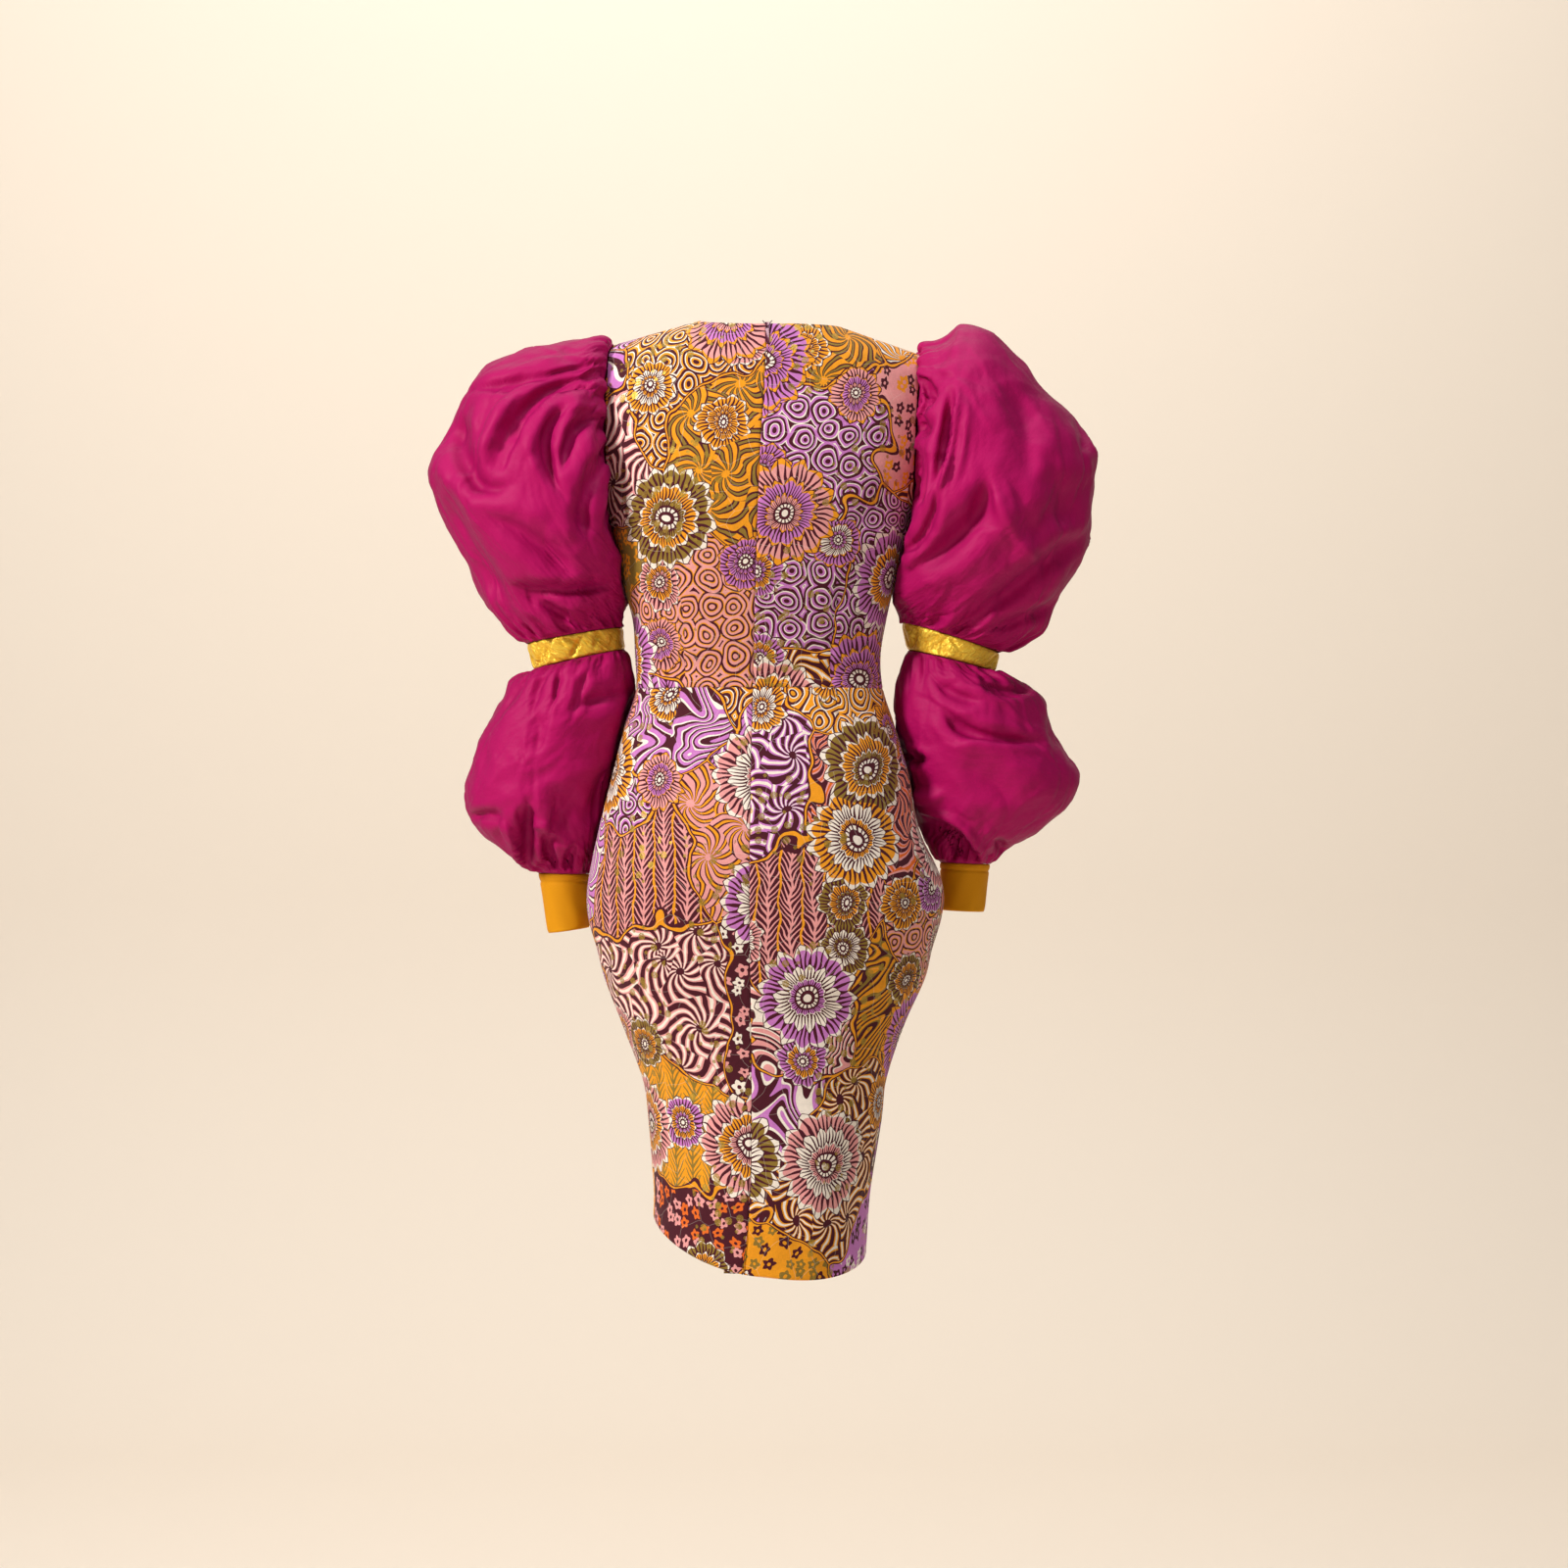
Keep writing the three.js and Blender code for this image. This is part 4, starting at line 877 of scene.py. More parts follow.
def ring_middle(side, ring):
    out_x, out_z, in_x, in_z = ring[:4]
    z = (out_z + in_z) / 2
    return np.array([side * (out_x + in_x) / 2, float(column_at(SLEEVE_Y, 1, z)), z])


# A ring's points by turn: 0 outermost, a quarter behind
def ring_points(side, ring, turns):
    out_x, out_z, in_x, in_z, front, back = ring
    half = np.array([side * (out_x - in_x), 0, out_z - in_z]) / 2
    depth = np.where(np.sin(turns) >= 0, back, front)
    spokes = np.cos(turns)[:, None] * half
    spokes[:, 1] = depth * np.sin(turns)
    return clear_of_body(ring_middle(side, ring) + spokes)


# A seam ring lies a gap away from the piece that it is sewn to.
def beside_ring(side, ring, toward):
    step = ring_middle(side, toward) - ring_middle(side, ring)
    step *= RING_GAP / np.linalg.norm(step)
    out_x, out_z, in_x, in_z, front, back = ring
    return [out_x + side * step[0], out_z + step[2], in_x + side * step[0], in_z + step[2],
            front, back]


# Rows between the rings, on curves through them. The rows crowd toward both seams.
def rows_between(knots, count, finest, coarsest):
    ends = np.concatenate([2 * knots[:1] - knots[1:2], knots, 2 * knots[-1:] - knots[-2:-1]])
    fine = np.linspace(0, len(knots) - 1, 900)
    mean = step_lengths(knots, 0).mean(axis=1)
    distance = np.interp(fine, np.arange(len(knots)), np.insert(np.cumsum(mean), 0, 0))
    total = distance[-1]
    near = np.minimum(distance, total - distance)
    size = mix(finest, coarsest, smooth(near, 0, 40))
    count_at = np.insert(np.cumsum(np.diff(distance) / ((size[1:] + size[:-1]) / 2)), 0, 0)
    places = np.interp(np.linspace(0, count_at[-1], count), count_at, fine)
    i = np.clip(places.astype(int), 0, len(knots) - 2)
    t = (places - i)[:, None, None]
    p0, p1, p2, p3 = (ends[i + k] for k in range(4))
    grid = 0.5 * (2 * p1 + (p2 - p0) * t + (2 * p0 - 5 * p1 + 4 * p2 - p3) * t ** 2
                  + (3 * p1 - p0 - 3 * p2 + p3) * t ** 3)
    return grid, np.interp(places, fine, distance), total


# Gathers are many small troughs from a seam, uneven in place, depth and length. Each size
# has a count, depth, length and lean.
UPPER_HEAD = [(46, 3.2, 20, 0.03), (26, 5.0, 44, 0.06), (12, 6.0, 88, 0.12)]
UPPER_FOOT = [(44, 3.6, 18, 0.03), (24, 5.5, 38, 0.06), (11, 7.0, 76, 0.14)]
LOWER_HEAD = [(40, 2.4, 14, 0.03), (21, 3.2, 34, 0.05), (9, 3.4, 66, 0.12)]
LOWER_FOOT = [(30, 2.2, 13, 0.04), (15, 3.6, 30, 0.08), (6, 5.0, 52, 0.14)]


def gathers(turns, distance, sizes, seed):
    chance = np.random.default_rng(seed)
    total = np.zeros((len(distance), len(turns)))
    for count, deep, long, lean in sizes:
        for k in range(count):
            at = TURN * (k + chance.uniform(-0.42, 0.42)) / count
            depth = deep * chance.uniform(0.25, 1.35)
            length = long * chance.uniform(0.45, 1.6)
            width = math.pi / count * chance.uniform(0.32, 0.6)
            drift = chance.uniform(-1, 1) * lean
            fade = np.exp(-(distance / length) ** 1.6) * (0.3 + 0.7 * smooth(distance, 0, 7))
            line = at + drift * np.minimum(distance / length, 2)
            off = (turns[None] - line[:, None] + math.pi) % TURN - math.pi
            spread = width * (1 + 0.5 * distance / length)
            shape = np.exp(-np.abs(off / spread[:, None]) ** 1.5)
            total += depth * fade[:, None] * (shape - shape.mean(axis=1, keepdims=True))
    return total


# Stiff cloth breaks into flat facets with ridges between. The sizes are in millimetres.
def crumple(grid, seed, facet, deep):
    flat = grid.reshape(-1, 3)
    shift = Vector((seed * 7.3, seed * 3.1, seed * 5.7))
    out = np.empty(len(flat))
    for k, point in enumerate(flat):
        place = Vector(point) / facet + shift
        bend = noise.noise_vector(place * 0.7) * 0.55
        near, _ = noise.voronoi(place + bend, distance_metric="DISTANCE", exponent=2)
        out[k] = (near[1] - near[0]) * 0.9 + 0.5 * noise.noise(place * 2.1)
    out = out.reshape(grid.shape[:2])
    return deep * (out - out.mean())


# Main folds: face, three places in X and Z, width, depth and sharpness. A depth below nought
# is a ridge.
UPPER_FOLDS = {
    "left": [
        [BACK, (160, -30), (232, -50), (300, -58), 7, 6, 1.0],
        [BACK, (298, -78), (303, -118), (280, -156), 13, 9, 0.6],
        [BACK, (296, -142), (276, -160), (248, -158), 10, 5, 0.7],
        [BACK, (243, -66), (266, -102), (277, -140), 5, -7, 1.2],
        [BACK, (161, -46), (226, -72), (266, -140), 9, 9, 0.9],
        [BACK, (161, -66), (186, -58), (210, -76), 5, 5, 1.0],
        [BACK, (187, -76), (214, -112), (196, -170), 8, 8, 1.0],
        [BACK, (160, -88), (186, -104), (196, -146), 8, 7, 0.8],
        [BACK, (268, -190), (222, -216), (188, -248), 12, 5, 0.4],
        [BACK, (326, -152), (290, -222), (250, -282), 13, 6, 0.6],
        [BACK, (250, -256), (196, -262), (146, -252), 8, 8, 1.0],
        [BACK, (246, -262), (212, -278), (184, -297), 7, 6, 1.0],
        [BACK, (158, -128), (176, -176), (170, -214), 10, 5, 0.6],
        [FRONT, (160, -34), (224, -52), (296, -66), 8, 6, 1.0],
        [FRONT, (302, -92), (296, -136), (270, -168), 13, 7, 0.5],
        [FRONT, (166, -56), (222, -88), (252, -150), 9, 8, 0.9],
        [FRONT, (168, -90), (200, -128), (192, -180), 8, 7, 1.0],
        [FRONT, (250, -84), (262, -112), (262, -142), 7, -4, 0.9],
        [FRONT, (318, -168), (282, -230), (240, -278), 12, 6, 0.6],
        [FRONT, (262, -196), (216, -226), (176, -250), 11, 5, 0.5],
        [FRONT, (240, -262), (194, -272), (150, -262), 8, 6, 1.0],
    ],
    "right": [
        [BACK, (-147, -38), (-168, -64), (-152, -92), 5, 6, 1.1],
        [BACK, (-188, -66), (-184, -112), (-173, -156), 9, 10, 0.9],
        [BACK, (-196, -54), (-188, -118), (-176, -164), 4.5, -7, 1.2],
        [BACK, (-176, -162), (-162, -206), (-136, -222), 7, 6, 0.9],
        [BACK, (-224, -150), (-206, -200), (-142, -246), 15, 8, 0.5],
        [BACK, (-228, -148), (-246, -196), (-280, -238), 11, -5, 0.5],
        [BACK, (-316, -74), (-328, -100), (-322, -122), 7, 5, 0.9],
        [BACK, (-334, -198), (-276, -244), (-198, -300), 13, 8, 0.6],
        [BACK, (-298, -272), (-262, -290), (-226, -300), 8, 6, 0.8],
        [BACK, (-150, -104), (-158, -146), (-146, -186), 8, 5, 0.8],
        [BACK, (-238, -52), (-262, -96), (-268, -150), 14, 3, 0.3],
        [BACK, (-290, -130), (-300, -170), (-296, -206), 16, 4, 0.3],
        [FRONT, (-160, -30), (-176, -62), (-164, -96), 6, 6, 1.1],
        [FRONT, (-200, -58), (-204, -108), (-188, -156), 9, 9, 0.9],
        [FRONT, (-214, -50), (-220, -104), (-206, -152), 7, -4, 0.9],
        [FRONT, (-244, -150), (-216, -204), (-156, -246), 14, 7, 0.5],
        [FRONT, (-318, -92), (-320, -130), (-300, -160), 9, 6, 0.7],
        [FRONT, (-326, -206), (-270, -250), (-206, -292), 12, 7, 0.6],
        [FRONT, (-246, -262), (-206, -272), (-164, -262), 8, 6, 1.0],
    ],
}
LOWER_FOLDS = {
    "left": [
        [BACK, (235, -474), (238, -506), (240, -538), 9, 10, 0.8],
        [BACK, (262, -488), (254, -512), (243, -540), 4, -5, 1.2],
        [BACK, (300, -489), (280, -487), (260, -491), 6, 5, 1.0],
        [BACK, (221, -503), (217, -526), (212, -546), 10, 9, 0.8],
        [BACK, (240, -502), (227, -498), (214, -498), 4, -4, 1.1],
        [BACK, (190, -516), (197, -532), (203, -548), 8, 6, 0.8],
        [BACK, (236, -344), (250, -362), (268, -392), 4, 2.6, 1.0],
        [BACK, (219, -344), (226, -362), (232, -388), 4, 2.6, 1.0],
        [BACK, (204, -346), (207, -360), (210, -378), 3.5, 2.2, 1.0],
        [BACK, (176, -342), (182, -362), (192, -392), 5, 3, 0.9],
        [BACK, (137, -362), (160, -368), (187, -378), 9, 4, 0.7],
        [BACK, (226, -384), (224, -404), (228, -426), 8, 3, 0.5],
        [BACK, (184, -456), (200, -482), (214, -510), 15, 5, 0.4],
        [BACK, (150, -440), (166, -470), (180, -506), 14, 4, 0.4],
        [FRONT, (232, -474), (234, -504), (234, -530), 10, 6, 0.7],
        [FRONT, (200, -484), (206, -510), (210, -534), 9, 6, 0.7],
        [FRONT, (262, -480), (254, -504), (246, -526), 7, -3, 0.8],
        [FRONT, (236, -346), (244, -362), (252, -380), 6, 6, 1.0],
        [FRONT, (196, -344), (200, -358), (206, -376), 6, 6, 0.9],
        [FRONT, (280, -410), (246, -432), (206, -436), 14, 5, 0.5],
    ],
    "right": [
        [BACK, (-186, -382), (-216, -406), (-286, -411), 9, 7, 0.7],
        [BACK, (-196, -418), (-226, -414), (-280, -421), 7, -4, 0.7],
        [BACK, (-141, -424), (-154, -429), (-169, -431), 6, 8, 1.0],
        [BACK, (-150, -462), (-166, -470), (-188, -462), 10, -4, 0.5],
        [BACK, (-160, -496), (-194, -510), (-212, -540), 14, 9, 0.6],
        [BACK, (-158, -484), (-200, -496), (-228, -536), 7, -6, 0.9],
        [BACK, (-223, -353), (-248, -360), (-276, -358), 6, 6, 0.9],
        [BACK, (-174, -350), (-198, -366), (-222, -371), 8, 4, 0.7],
        [BACK, (-310, -486), (-296, -502), (-276, -514), 6, 6, 0.8],
        [BACK, (-296, -360), (-306, -390), (-300, -420), 12, 3, 0.4],
        [BACK, (-252, -532), (-246, -520), (-236, -512), 6, 5, 0.9],
        [BACK, (-196, -438), (-232, -452), (-262, -482), 16, 3, 0.3],
        [FRONT, (-182, -388), (-224, -404), (-284, -404), 10, 6, 0.7],
        [FRONT, (-172, -486), (-198, -504), (-212, -528), 11, 6, 0.7],
        [FRONT, (-246, -484), (-242, -506), (-236, -526), 9, 6, 0.7],
        [FRONT, (-210, -346), (-216, -366), (-222, -386), 7, 6, 0.9],
        [FRONT, (-302, -436), (-276, -470), (-252, -500), 13, 5, 0.5],
    ],
}


# The cloth settles like crisp taffeta: each yarn keeps its length, more yarn than the form
# needs buckles into folds, and the puff's air holds the form up. Buckling makes much of the
# last digit of a sum, so the small folds can differ by about half a millimetre between runs.
SETTLE_ROUNDS, AIR_HOLD, YARN_PULL = 130, 0.045, 0.15


def settle(grid, rest_across, rest_down):
    rows = len(grid)
    target, cloth = grid.copy(), grid.copy()
    slant = np.sqrt(((rest_across[1:] + rest_across[:-1]) / 2) ** 2 + rest_down ** 2)
    two_down = rest_down[1:] + rest_down[:-1]
    links = [
        (0, 1, rest_across, 1.0), (1, 0, rest_down, 1.0), (1, 1, slant, 0.6), (1, -1, slant, 0.6),
        (0, 2, 2 * rest_across, 0.5), (2, 0, two_down, 0.5), (0, 4, 4 * rest_across, 0.35),
        (0, 7, 7 * rest_across, 0.25),
    ]
    for k in range(SETTLE_ROUNDS):
        move = np.zeros_like(cloth)
        for down, across, rest, firm in links:
            low = np.roll(cloth, -across, axis=1)[down:]
            high = cloth[:rows - down]
            run = low - high
            length = np.sqrt(run[..., 0] ** 2 + run[..., 1] ** 2 + run[..., 2] ** 2)
            pull = run * (YARN_PULL * firm * (1 - rest / np.maximum(length, 1e-6)))[..., None]
            move[:rows - down] += pull
            move[down:] -= np.roll(pull, across, axis=1)
        cloth[1:-1] += move[1:-1] + AIR_HOLD * (target - cloth)[1:-1]
        if k % 20 == 19:
            cloth[1:-1] = clear_of_body(cloth, 1.0)[1:-1]
    return cloth


# Sharp creases stay where stiff cloth has once been folded: a narrow one along each main
# fold, and short ones here and there that run mostly down the sleeve. Sizes are in
# millimetres.
CREASES, CREASE_FACET, CREASE_FACET_DEEP, MEAN_RADIUS = 86, 44, 2.6, 95


def with_creases(grid, turns, distance, total, folds, seed):
    middles = grid.mean(axis=1, keepdims=True)
    ways = grid_normals(grid, middles, True)
    near = np.minimum(distance, total - distance)[:, None]
    depth = crumple(grid, seed + 3, CREASE_FACET, CREASE_FACET_DEEP) * smooth(near, 6, 30)
    for face, start, middle, end, wide, deep, sharp in folds:
        depth += fold_depth(grid, ways, face, start, middle, end, 0.5 * wide, 0.62 * deep, 1.2)
    chance = np.random.default_rng(seed + 500)
    for k in range(CREASES):
        at, height = chance.uniform(0, TURN), chance.uniform(0.08, 0.92) * total
        long, wide = chance.uniform(14, 46), chance.uniform(1.6, 3.6)
        deep, lean = chance.choice([1, 1, -1]) * chance.uniform(0.5, 1.7), chance.normal(0, 0.7)
        bend = chance.uniform(-0.012, 0.012)
        x = ((turns[None] - at + math.pi) % TURN - math.pi) * MEAN_RADIUS
        y = (distance - height)[:, None]
        along = x * math.sin(lean) + y * math.cos(lean)
        off = x * math.cos(lean) - y * math.sin(lean) - bend * along ** 2
        depth += deep * np.exp(-(along / long) ** 4) * (
            np.exp(-np.abs(off) / wide) - 0.45 * np.exp(-((off - 2.4 * wide) / (1.6 * wide)) ** 2))
    grid = grid - ways * (depth * smooth(near, 2, 14))[..., None]
    return clear_of_body(grid, 1.0)


TAFFETA, FOLD_DEEPENING, SPARE_CLOTH, EASE_ROUNDS = 0.0005, 1.45, 1.006, 3


def puff(name, knots, turns, made, folds, seed):
    grid, distance, total = rows_between(knots, made["rows"], *made["row_steps"])
    middles = grid.mean(axis=1, keepdims=True)
    ways = grid_normals(grid, middles, True)
    depth = gathers(turns, distance, made["head"], seed)
    depth = depth + gathers(turns, total - distance, made["foot"], seed + 1)
    run = run_along(grid, 0)
    near = np.minimum(distance, total - distance)[:, None]
    depth = depth * np.clip((np.minimum(run, run[-1:] - run) + 2) / (near + 2), 0, 1)
    inside = smooth(near, 0, 9)
    for fold in folds:
        depth = depth + FOLD_DEEPENING * fold_depth(grid, ways, *fold) * inside
    depth = depth + crumple(grid, seed, made["facet"], made["facet_deep"]) * inside
    depth = mix(0.5 * np.maximum(depth, 0), depth, smooth(near, 0, 7))
    grid = grid - ways * depth[..., None]
    grid = clear_of_body(grid, 1.0)
    seams = smooth(near, 0, 14)
    spare = SPARE_CLOTH + made["fullness"] * np.exp(-(near / 34) ** 2)
    rest_down = step_lengths(grid, 0) * mix(1, SPARE_CLOTH, seams[1:])
    grid = settle(grid, steps_round(grid) * mix(1, spare, seams), rest_down)
    for _ in range(EASE_ROUNDS):
        beside = (np.roll(grid, 1, axis=1) + np.roll(grid, -1, axis=1)) / 2
        above = (grid[2:] + grid[:-2]) / 2
        even = (beside[1:-1] + above) / 2 - grid[1:-1]
        grid[1:-1] += even * 0.4 * smooth(near[1:-1], 20, 75)[..., None]
    grid = with_creases(grid, turns, distance, total, folds, seed)
    length = TURN * np.mean([np.linalg.norm(r - m, axis=1).mean()
                                    for r, m in zip(grid, middles)])
    u = np.linspace(0, length, len(turns) + 1)
    flat = np.stack(np.broadcast_arrays(u[None], -distance[:, None]), axis=-1)
    return cloth_mesh(name, grid, middles, flat, is_tube=True, thick=TAFFETA)


# The taffeta: a close, crisp weave with a low sheen. Painted shade: the colour goes from magenta where
# the cloth faces the camera to deep wine where it turns away, so the edges are painted darker. The
# slubs are the yarn's own unevenness, tinted a brighter magenta as a painted highlight.
taffeta, tree, place = new_cloth("magenta taffeta")
slubs = add(tree, "VectorMath.MULTIPLY", place, (0.12, 1.6, 1))
slub = add(tree, "TexNoise", {"Vector": slubs, "Scale": 1, "Detail": 3})
# Painted shade: the colour darkens toward the edges that turn away from the camera.
facing = add(tree, "LayerWeight", {"Blend": 0.35}, take="Facing")
tone = add(tree, "Mix.RGBA", facing, colour("#AE025B"), colour("#74013F"))
# Painted highlight: a brighter magenta along the yarn slubs, the same noise that raises the fine bump;
# the slubs themselves are real yarn unevenness.
slub_highlight_share = add(tree, "Math.MULTIPLY", slub, 0.22)
tone = add(tree, "Mix.RGBA", slub_highlight_share, tone, colour("#CC0A70"))
rumple = add(tree, "TexNoise", {"Vector": place, "Scale": 0.035, "Detail": 4, "Roughness": 0.55})
big_bump = add(tree, "Bump", {"Strength": 0.5, "Distance": 0.004, "Height": rumple})
fine_bump = add(tree, "Bump", {"Strength": 0.12, "Distance": 0.0004, "Height": slub,
                               "Normal": big_bump})
surface = add(tree, "BsdfPrincipled", {
    "Base Color": tone, "Roughness": 0.6, "Normal": fine_bump, "Sheen Weight": 0.08,
    "Specular IOR Level": 0.16, "Sheen Roughness": 0.35, "Sheen Tint": colour("#FF4FAE")})
add(tree, "OutputMaterial", surface)

PUFFS = {
    "upper": {
        "columns": 276, "rows": 150, "row_steps": (1.3, 2.9), "seed": 11, "cut": (0.70, 0.32),
        "head": UPPER_HEAD, "foot": UPPER_FOOT, "folds": UPPER_FOLDS,
        "facet": 66, "facet_deep": 4.6, "fullness": 0.15,
    },
    "lower": {
        "columns": 220, "rows": 112, "row_steps": (1.2, 2.6), "seed": 15, "cut": (0.53, 0.22),
        "head": LOWER_HEAD, "foot": LOWER_FOOT, "folds": LOWER_FOLDS,
        "facet": 58, "facet_deep": 3.4, "fullness": 0.09,
    },
}
for number, (name, shoulder) in enumerate(SHOULDERS.items()):
    side, rings = shoulder["side"], SLEEVE_RINGS[name]
    upper, band, lower, cuff = (rings[k] for k in ("upper", "band", "lower", "cuff"))
    rows = {
        "upper": upper + [beside_ring(side, band[0], upper[-1])],
        "lower": [beside_ring(side, band[-1], lower[0])] + lower + [
            beside_ring(side, cuff[0], lower[-1])],
    }
    for part, made in PUFFS.items():
        turns = np.arange(made["columns"]) * TURN / made["columns"]
        if part == "upper":
            turns = turns - HEAD_CROWDING * np.sin(turns)
        knots = [ring_points(side, ring, turns) for ring in rows[part]]
        if part == "upper":
            knots.insert(0, armhole_point(shoulder, turns) + [side * ARMHOLE_GAP, 0, 0])
        node = f"{part}_puff_{name}"
        obj = puff(node + "_cloth", np.stack(knots), turns, made, made["folds"][name],
                   made["seed"] + 10 * number)
        finished(obj, taffeta, node)

# Elbow bands
# Straight strips of gold lame, cut a little long, joined in a ring and sewn between the
# puffs. The foil cloth wrinkles slantwise where the sleeve pulls it.
BAND_COLUMNS, BAND_ROWS, BAND_WRINKLES, BAND_CRUSH, BAND_ROLL = 176, 22, 34, 5.2, 0.9
STRIP_CLOTH, STRIP_STEPS, STRIP_TURN = 0.0008, (1.2, 1.8), 2.5


def slant_wrinkles(turns, share, seed):
    chance = np.random.default_rng(seed)
    total = np.zeros((len(share), len(turns)))
    for k in range(BAND_WRINKLES):
        at, lean = chance.uniform(0, TURN), chance.choice([-1, 1, 1]) * chance.uniform(0.15, 0.6)
        width, middle = chance.uniform(0.025, 0.08), chance.uniform(0.1, 0.9)
        line = at + lean * (share - middle)
        off = (turns[None] - line[:, None] + math.pi) % TURN - math.pi
        reach_share = np.exp(-((share - middle) / chance.uniform(0.25, 0.6)) ** 2)
        total += BAND_CRUSH * chance.uniform(0.3, 1) * reach_share[:, None] * np.exp(
            -np.abs(off / width) ** 1.5)
    return total - total.mean()


def tube_piece(name, rings, columns, rows, relief, roll, material):
    turns = np.arange(columns) * TURN / columns
    side = SHOULDERS[name.rpartition("_")[2]]["side"]
    knots = np.stack([ring_points(side, ring, turns) for ring in rings])
    grid, distance, total = rows_between(knots, rows, *STRIP_STEPS)
    middles = grid.mean(axis=1, keepdims=True)
    ways = grid_normals(grid, middles, True)
    near = np.minimum(distance, total - distance)
    depth = relief(turns, distance / total) * smooth(near, 0, 5)[:, None]
    depth = depth + (roll * np.clip(1 - near / STRIP_TURN, 0, 1) ** 2)[:, None]
    grid = grid - ways * depth[..., None]
    length = steps_round(grid).sum(axis=1).mean()
    u = np.linspace(0, length, len(turns) + 1)
    flat = np.stack(np.broadcast_arrays(u[None], -distance[:, None]), axis=-1)
    obj = cloth_mesh(name + "_cloth", grid, middles, flat, is_tube=True, thick=STRIP_CLOTH)
    finished(obj, material, name)


# The lame: foil yarn woven flat, metallic, with fine crush lines that break the shine. Painted
# highlight: the colour runs from deep gold in the crush hollows to pale yellow on the crush ridges.
lame, tree, place = new_cloth("gold lame")
slanted = add(tree, "VectorRotate", {"Vector": place, "Angle": 0.7}, rotation_type="Z_AXIS")
crush = add(tree, "VectorMath.MULTIPLY", slanted, (0.10, 0.34, 1))
crush_and_highlight = add(tree, "TexNoise", {"Vector": crush, "Scale": 1, "Detail": 4, "Distortion": 0.8})
bump = add(tree, "Bump", {"Strength": 0.8, "Distance": 0.0022, "Height": crush_and_highlight})
# Painted highlight: pale yellow on the raised crush lines, deep gold in their hollows.
tone = add(tree, "Mix.RGBA", crush_and_highlight, colour("#F0A200"), colour("#FFE85C"))
surface = add(tree, "BsdfPrincipled", {
    "Base Color": tone, "Metallic": 0.35, "Roughness": 0.26, "Normal": bump,
    "Specular IOR Level": 0.3})
add(tree, "OutputMaterial", surface)

for number, name in enumerate(SHOULDERS):
    tube_piece(
        f"arm_band_{name}", SLEEVE_RINGS[name]["band"], BAND_COLUMNS, BAND_ROWS,
        lambda turns, share: slant_wrinkles(turns, share, 40 + number), BAND_ROLL, lame)

# Cuffs
# Plain amber cotton, cut as a straight strip and turned in at the wrist. A row of stitching
# holds the gathered edge below the seam.
CUFF_STITCH, CUFF_LONG, CUFF_COLUMNS, CUFF_ROWS, CUFF_ROLL = 8.5, 60, 132, 44, 0.7


def cuff_relief(turns, share):
    stitch = 1.0 * np.exp(-((share * CUFF_LONG - CUFF_STITCH) / 1.5) ** 2)
    waves = 0.5 * np.sin(3 * turns[None] + 4 * share[:, None]) + 0.35 * np.sin(
        7 * turns[None] - 6 * share[:, None] + 1)
    return stitch[:, None] + waves * (0.4 + 0.6 * share[:, None])


# The cotton: dyed plain-weave cotton with a dry surface
amber_cotton, tree, place = new_cloth("amber cotton")
weave = add(tree, "TexNoise", {"Vector": place, "Scale": 1.4, "Detail": 2})
tone = add(tree, "Mix.RGBA", weave, colour("#CC8200"), colour("#E29C08"))
bump = add(tree, "Bump", {"Strength": 0.15, "Distance": 0.0003, "Height": weave})
surface = add(tree, "BsdfPrincipled", {
    "Base Color": tone, "Roughness": 0.78, "Normal": bump, "Specular IOR Level": 0.2})
add(tree, "OutputMaterial", surface)

for name in SHOULDERS:
    tube_piece(f"cuff_{name}", SLEEVE_RINGS[name]["cuff"], CUFF_COLUMNS, CUFF_ROWS, cuff_relief,
               CUFF_ROLL, amber_cotton)

# Zip
# A concealed zip closes the centre back. Only its lacquered slider and pull show, at the
# neck, with the two ends of the coil beside them. Both are cast metal with rounded edges.
# The metals are wine lacquer with a wet shine over zinc, and the coil's dull bare nickel.
lacquer, tree = new_material("wine lacquer on zinc")
surface = add(tree, "BsdfPrincipled", {
    "Base Color": colour("#5A1030"), "Metallic": 0.35, "Roughness": 0.24, "Coat Weight": 0.6})
add(tree, "OutputMaterial", surface)
bare_metal, tree = new_material("nickel coil")
surface = add(tree, "BsdfPrincipled", {
    "Base Color": colour("#B9B4B2"), "Metallic": 0.9, "Roughness": 0.32})
add(tree, "OutputMaterial", surface)

ZIP_ROUNDING = 0.00018
for node, body in (("zip_slider", "dress"), ("zip_pull", "pull")):
    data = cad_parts[node].data.copy()
    data.name = node + "_metal"
    data.materials.clear()
    piece = bpy.data.objects.new(node + "_metal", data)
    bpy.context.scene.collection.objects.link(piece)
    pick(piece)
    bpy.ops.object.mode_set(mode="EDIT")
    bpy.ops.mesh.select_all(action="SELECT")
    bpy.ops.mesh.remove_doubles(threshold=1e-6)
    bpy.ops.mesh.dissolve_limited(angle_limit=math.radians(2))
    bpy.ops.object.mode_set(mode="OBJECT")
    edge = piece.modifiers.new("rounded edges", "BEVEL")
    edge.width, edge.segments, edge.limit_method = ZIP_ROUNDING, 3, "ANGLE"
    edge.angle_limit = math.radians(35)
    edge.use_clamp_overlap = True
    bpy.ops.object.modifier_apply(modifier=edge.name)
    bpy.ops.object.shade_smooth_by_angle(angle=math.radians(40))
    finished(piece, lacquer, node, body)

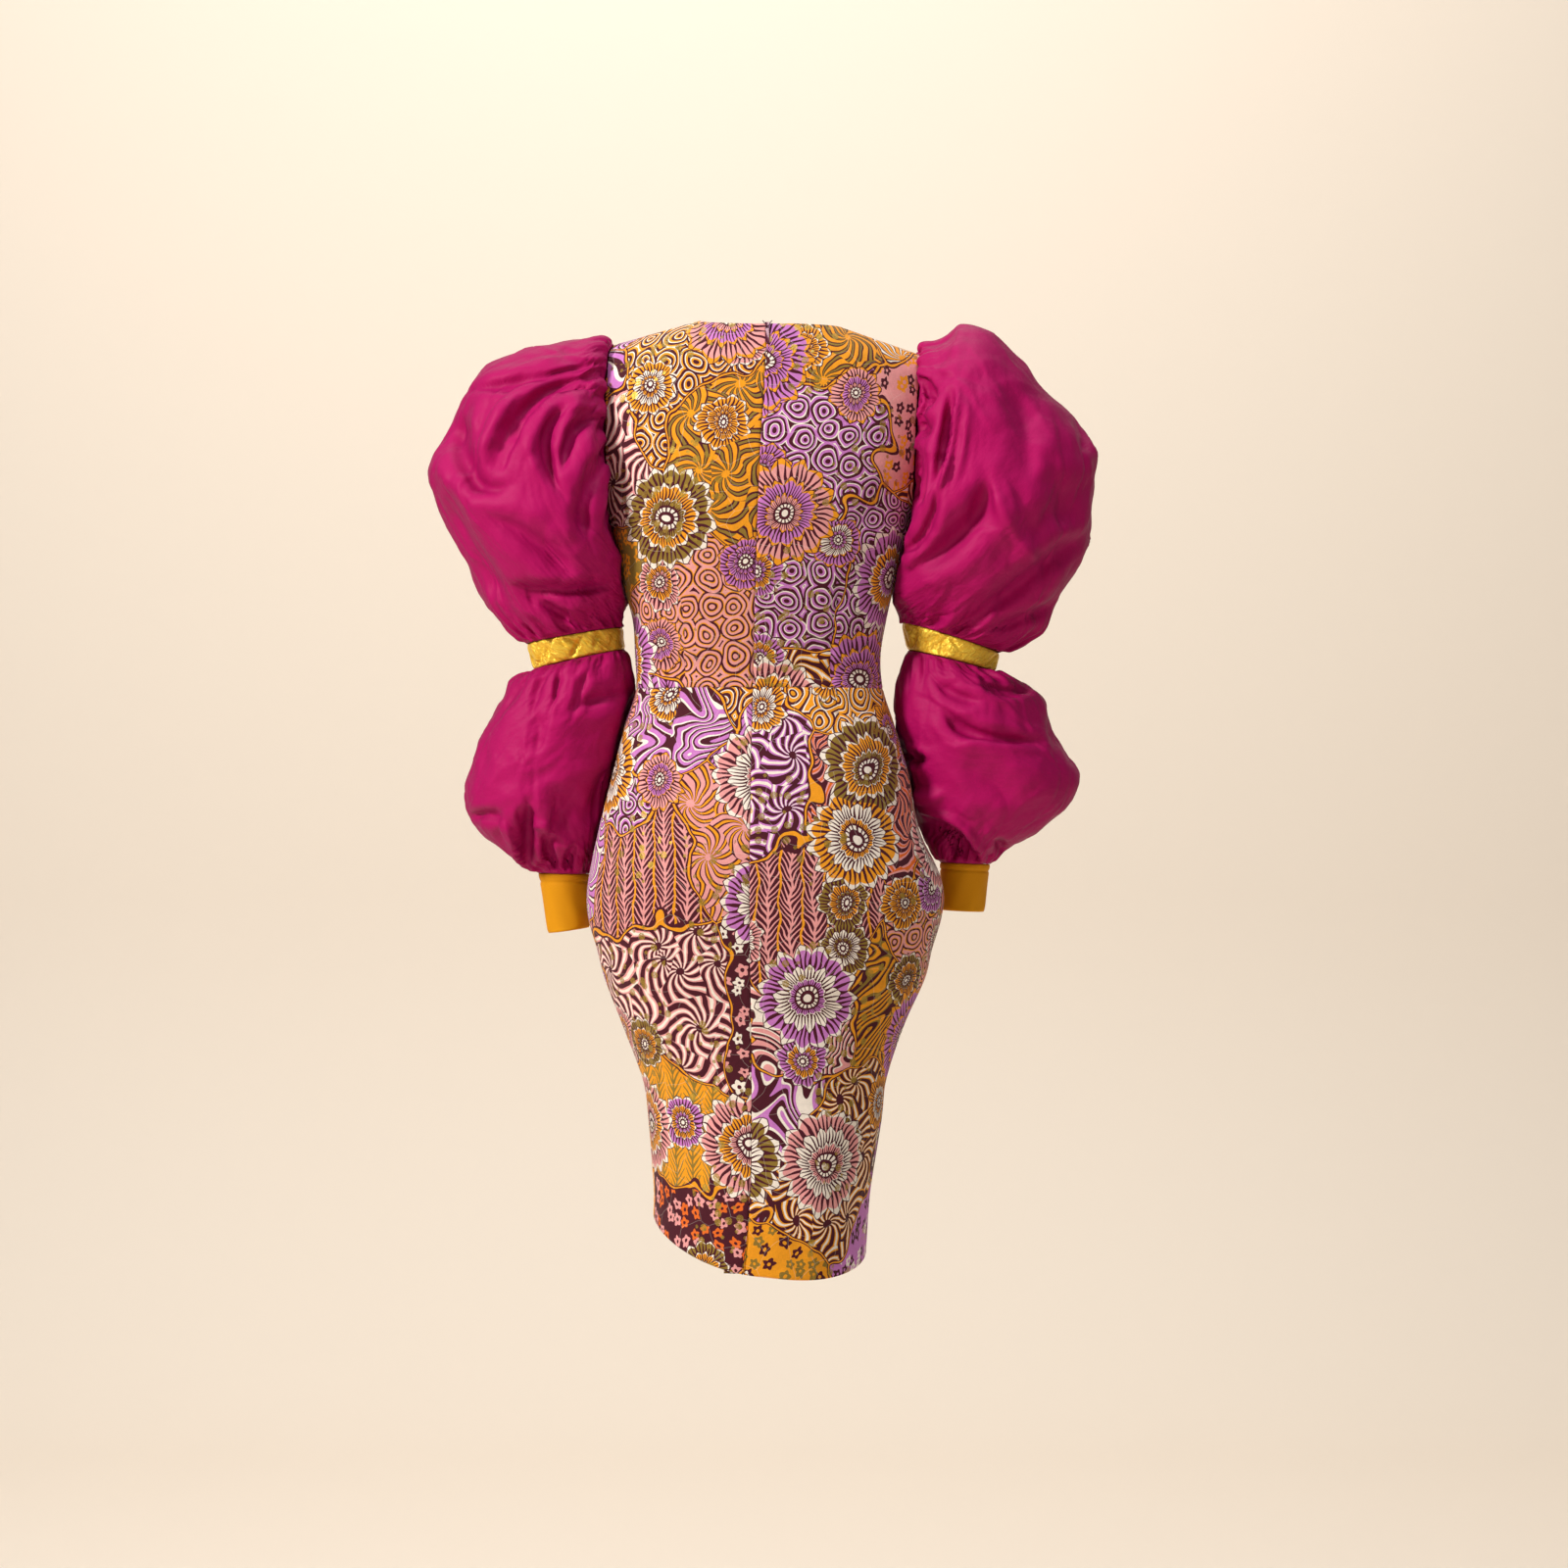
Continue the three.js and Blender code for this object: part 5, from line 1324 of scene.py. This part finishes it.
# The coil ends: eight small teeth on each side, which part as they rise. One tooth is shaped
# and the others are its copies.
TOOTH_SIZE, TOOTH_RISE, TOOTH_PARTING, FIRST_PARTING = (1.44, 0.9, 0.399), 0.5225, 0.42, 1.6
TEETH_A_SIDE, TEETH_BELOW, TEETH_IN = 8, 2.4, 2.6
slider_low, slider_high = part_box("zip_slider")
slider_middle = (slider_low + slider_high) / 2
bpy.ops.mesh.primitive_cube_add(size=MM)
tooth = bpy.context.object
bpy.ops.object.mode_set(mode="EDIT")
bpy.ops.transform.resize(value=TOOTH_SIZE)
bpy.ops.object.mode_set(mode="OBJECT")
teeth = []
for side in (-1, 1):
    for k in range(TEETH_A_SIDE):
        x = slider_middle.x + side * (FIRST_PARTING + TOOTH_PARTING * k) * MM
        z = slider_high.z + (TOOTH_RISE * k - TEETH_BELOW) * MM
        data = tooth.data.copy()
        data.transform(Matrix.Translation((x, slider_middle.y - TEETH_IN * MM, z)))
        teeth.append(bpy.data.objects.new("zip_teeth", data))
        bpy.context.scene.collection.objects.link(teeth[-1])
bpy.data.objects.remove(tooth)
pick(teeth[0])
for copy in teeth[1:]:
    copy.select_set(True)
bpy.ops.object.join()
zip_teeth = teeth[0]
zip_teeth.data.name = "zip_teeth"
zip_teeth.data.materials.append(bare_metal)
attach(zip_teeth, "dress")

# Room
# A sheet of warm pale paper swept from the floor up the wall, soft light from above and
# from the picture's left, and the camera level with the dress's middle.
FLOOR_Z, SWEEP_Y, SWEEP_RADIUS = -1.8, -3.62, 1.08
paper_line = [(8.0, FLOOR_Z), (SWEEP_Y, FLOOR_Z)]
paper_line += [(SWEEP_Y - SWEEP_RADIUS * math.sin(a), FLOOR_Z + SWEEP_RADIUS * (1 - math.cos(a)))
               for a in np.linspace(0.1, QUARTER, 12)]
paper_line += [(SWEEP_Y - SWEEP_RADIUS, 6.0)]
sweep = bpy.data.meshes.new("paper_sweep")
points = [(x, y, z) for y, z in paper_line for x in (-8, 8)]
faces = [(2 * k, 2 * k + 1, 2 * k + 3, 2 * k + 2) for k in range(len(paper_line) - 1)]
sweep.from_pydata(points, [], [f[::-1] for f in faces])
for polygon in sweep.polygons:
    polygon.use_smooth = True
paper = bpy.data.objects.new("paper_sweep", sweep)
bpy.context.scene.collection.objects.link(paper)
paper_finish, tree = new_material("warm pale paper")
surface = add(tree, "BsdfPrincipled", {"Base Color": colour("#F0E6DA"), "Roughness": 0.9})
add(tree, "OutputMaterial", surface)
sweep.materials.append(paper_finish)

LIGHTS = [
    # name, place, aim, size, power, colour
    ("key", (3.0, 2.3, 1.6), (0, 0, -0.4), 0.8, 172, "#FFFBF6"),
    ("fill", (-2.6, 3.6, 0.4), (0, 0, -0.4), 2.4, 9, "#FFFAF4"),
    ("top", (-0.4, 0.9, 2.4), (0, 0, -0.4), 1.2, 34, "#FFFFFF"),
    ("paper", (0.3, -2.2, 3.6), (0, -4.6, 0.2), 3.4, 138, "#FFF9F0"),
]
for name, spot, aim, size, power, tint in LIGHTS:
    lamp = bpy.data.lights.new(name, "AREA")
    lamp.shape, lamp.size, lamp.energy, lamp.color = "DISK", size, power, colour(tint)[:3]
    light = bpy.data.objects.new(name, lamp)
    light.location = spot
    light.rotation_euler = (Vector(aim) - Vector(spot)).to_track_quat("-Z", "Y").to_euler()
    bpy.context.scene.collection.objects.link(light)

world = bpy.data.worlds.new("studio")
world.use_nodes = True
world.node_tree.nodes["Background"].inputs["Color"].default_value = colour("#FFFAF2")
world.node_tree.nodes["Background"].inputs["Strength"].default_value = 0.21
bpy.context.scene.world = world

lens = bpy.data.cameras.new("view")
lens.lens, lens.sensor_width = 85, 36
camera = bpy.data.objects.new("view", lens)
camera.location = (-0.023, 3.778, -0.455)
camera.rotation_euler = (QUARTER, 0, math.pi)
bpy.context.scene.collection.objects.link(camera)
bpy.context.scene.camera = camera
bpy.context.scene.view_settings.view_transform = "Standard"
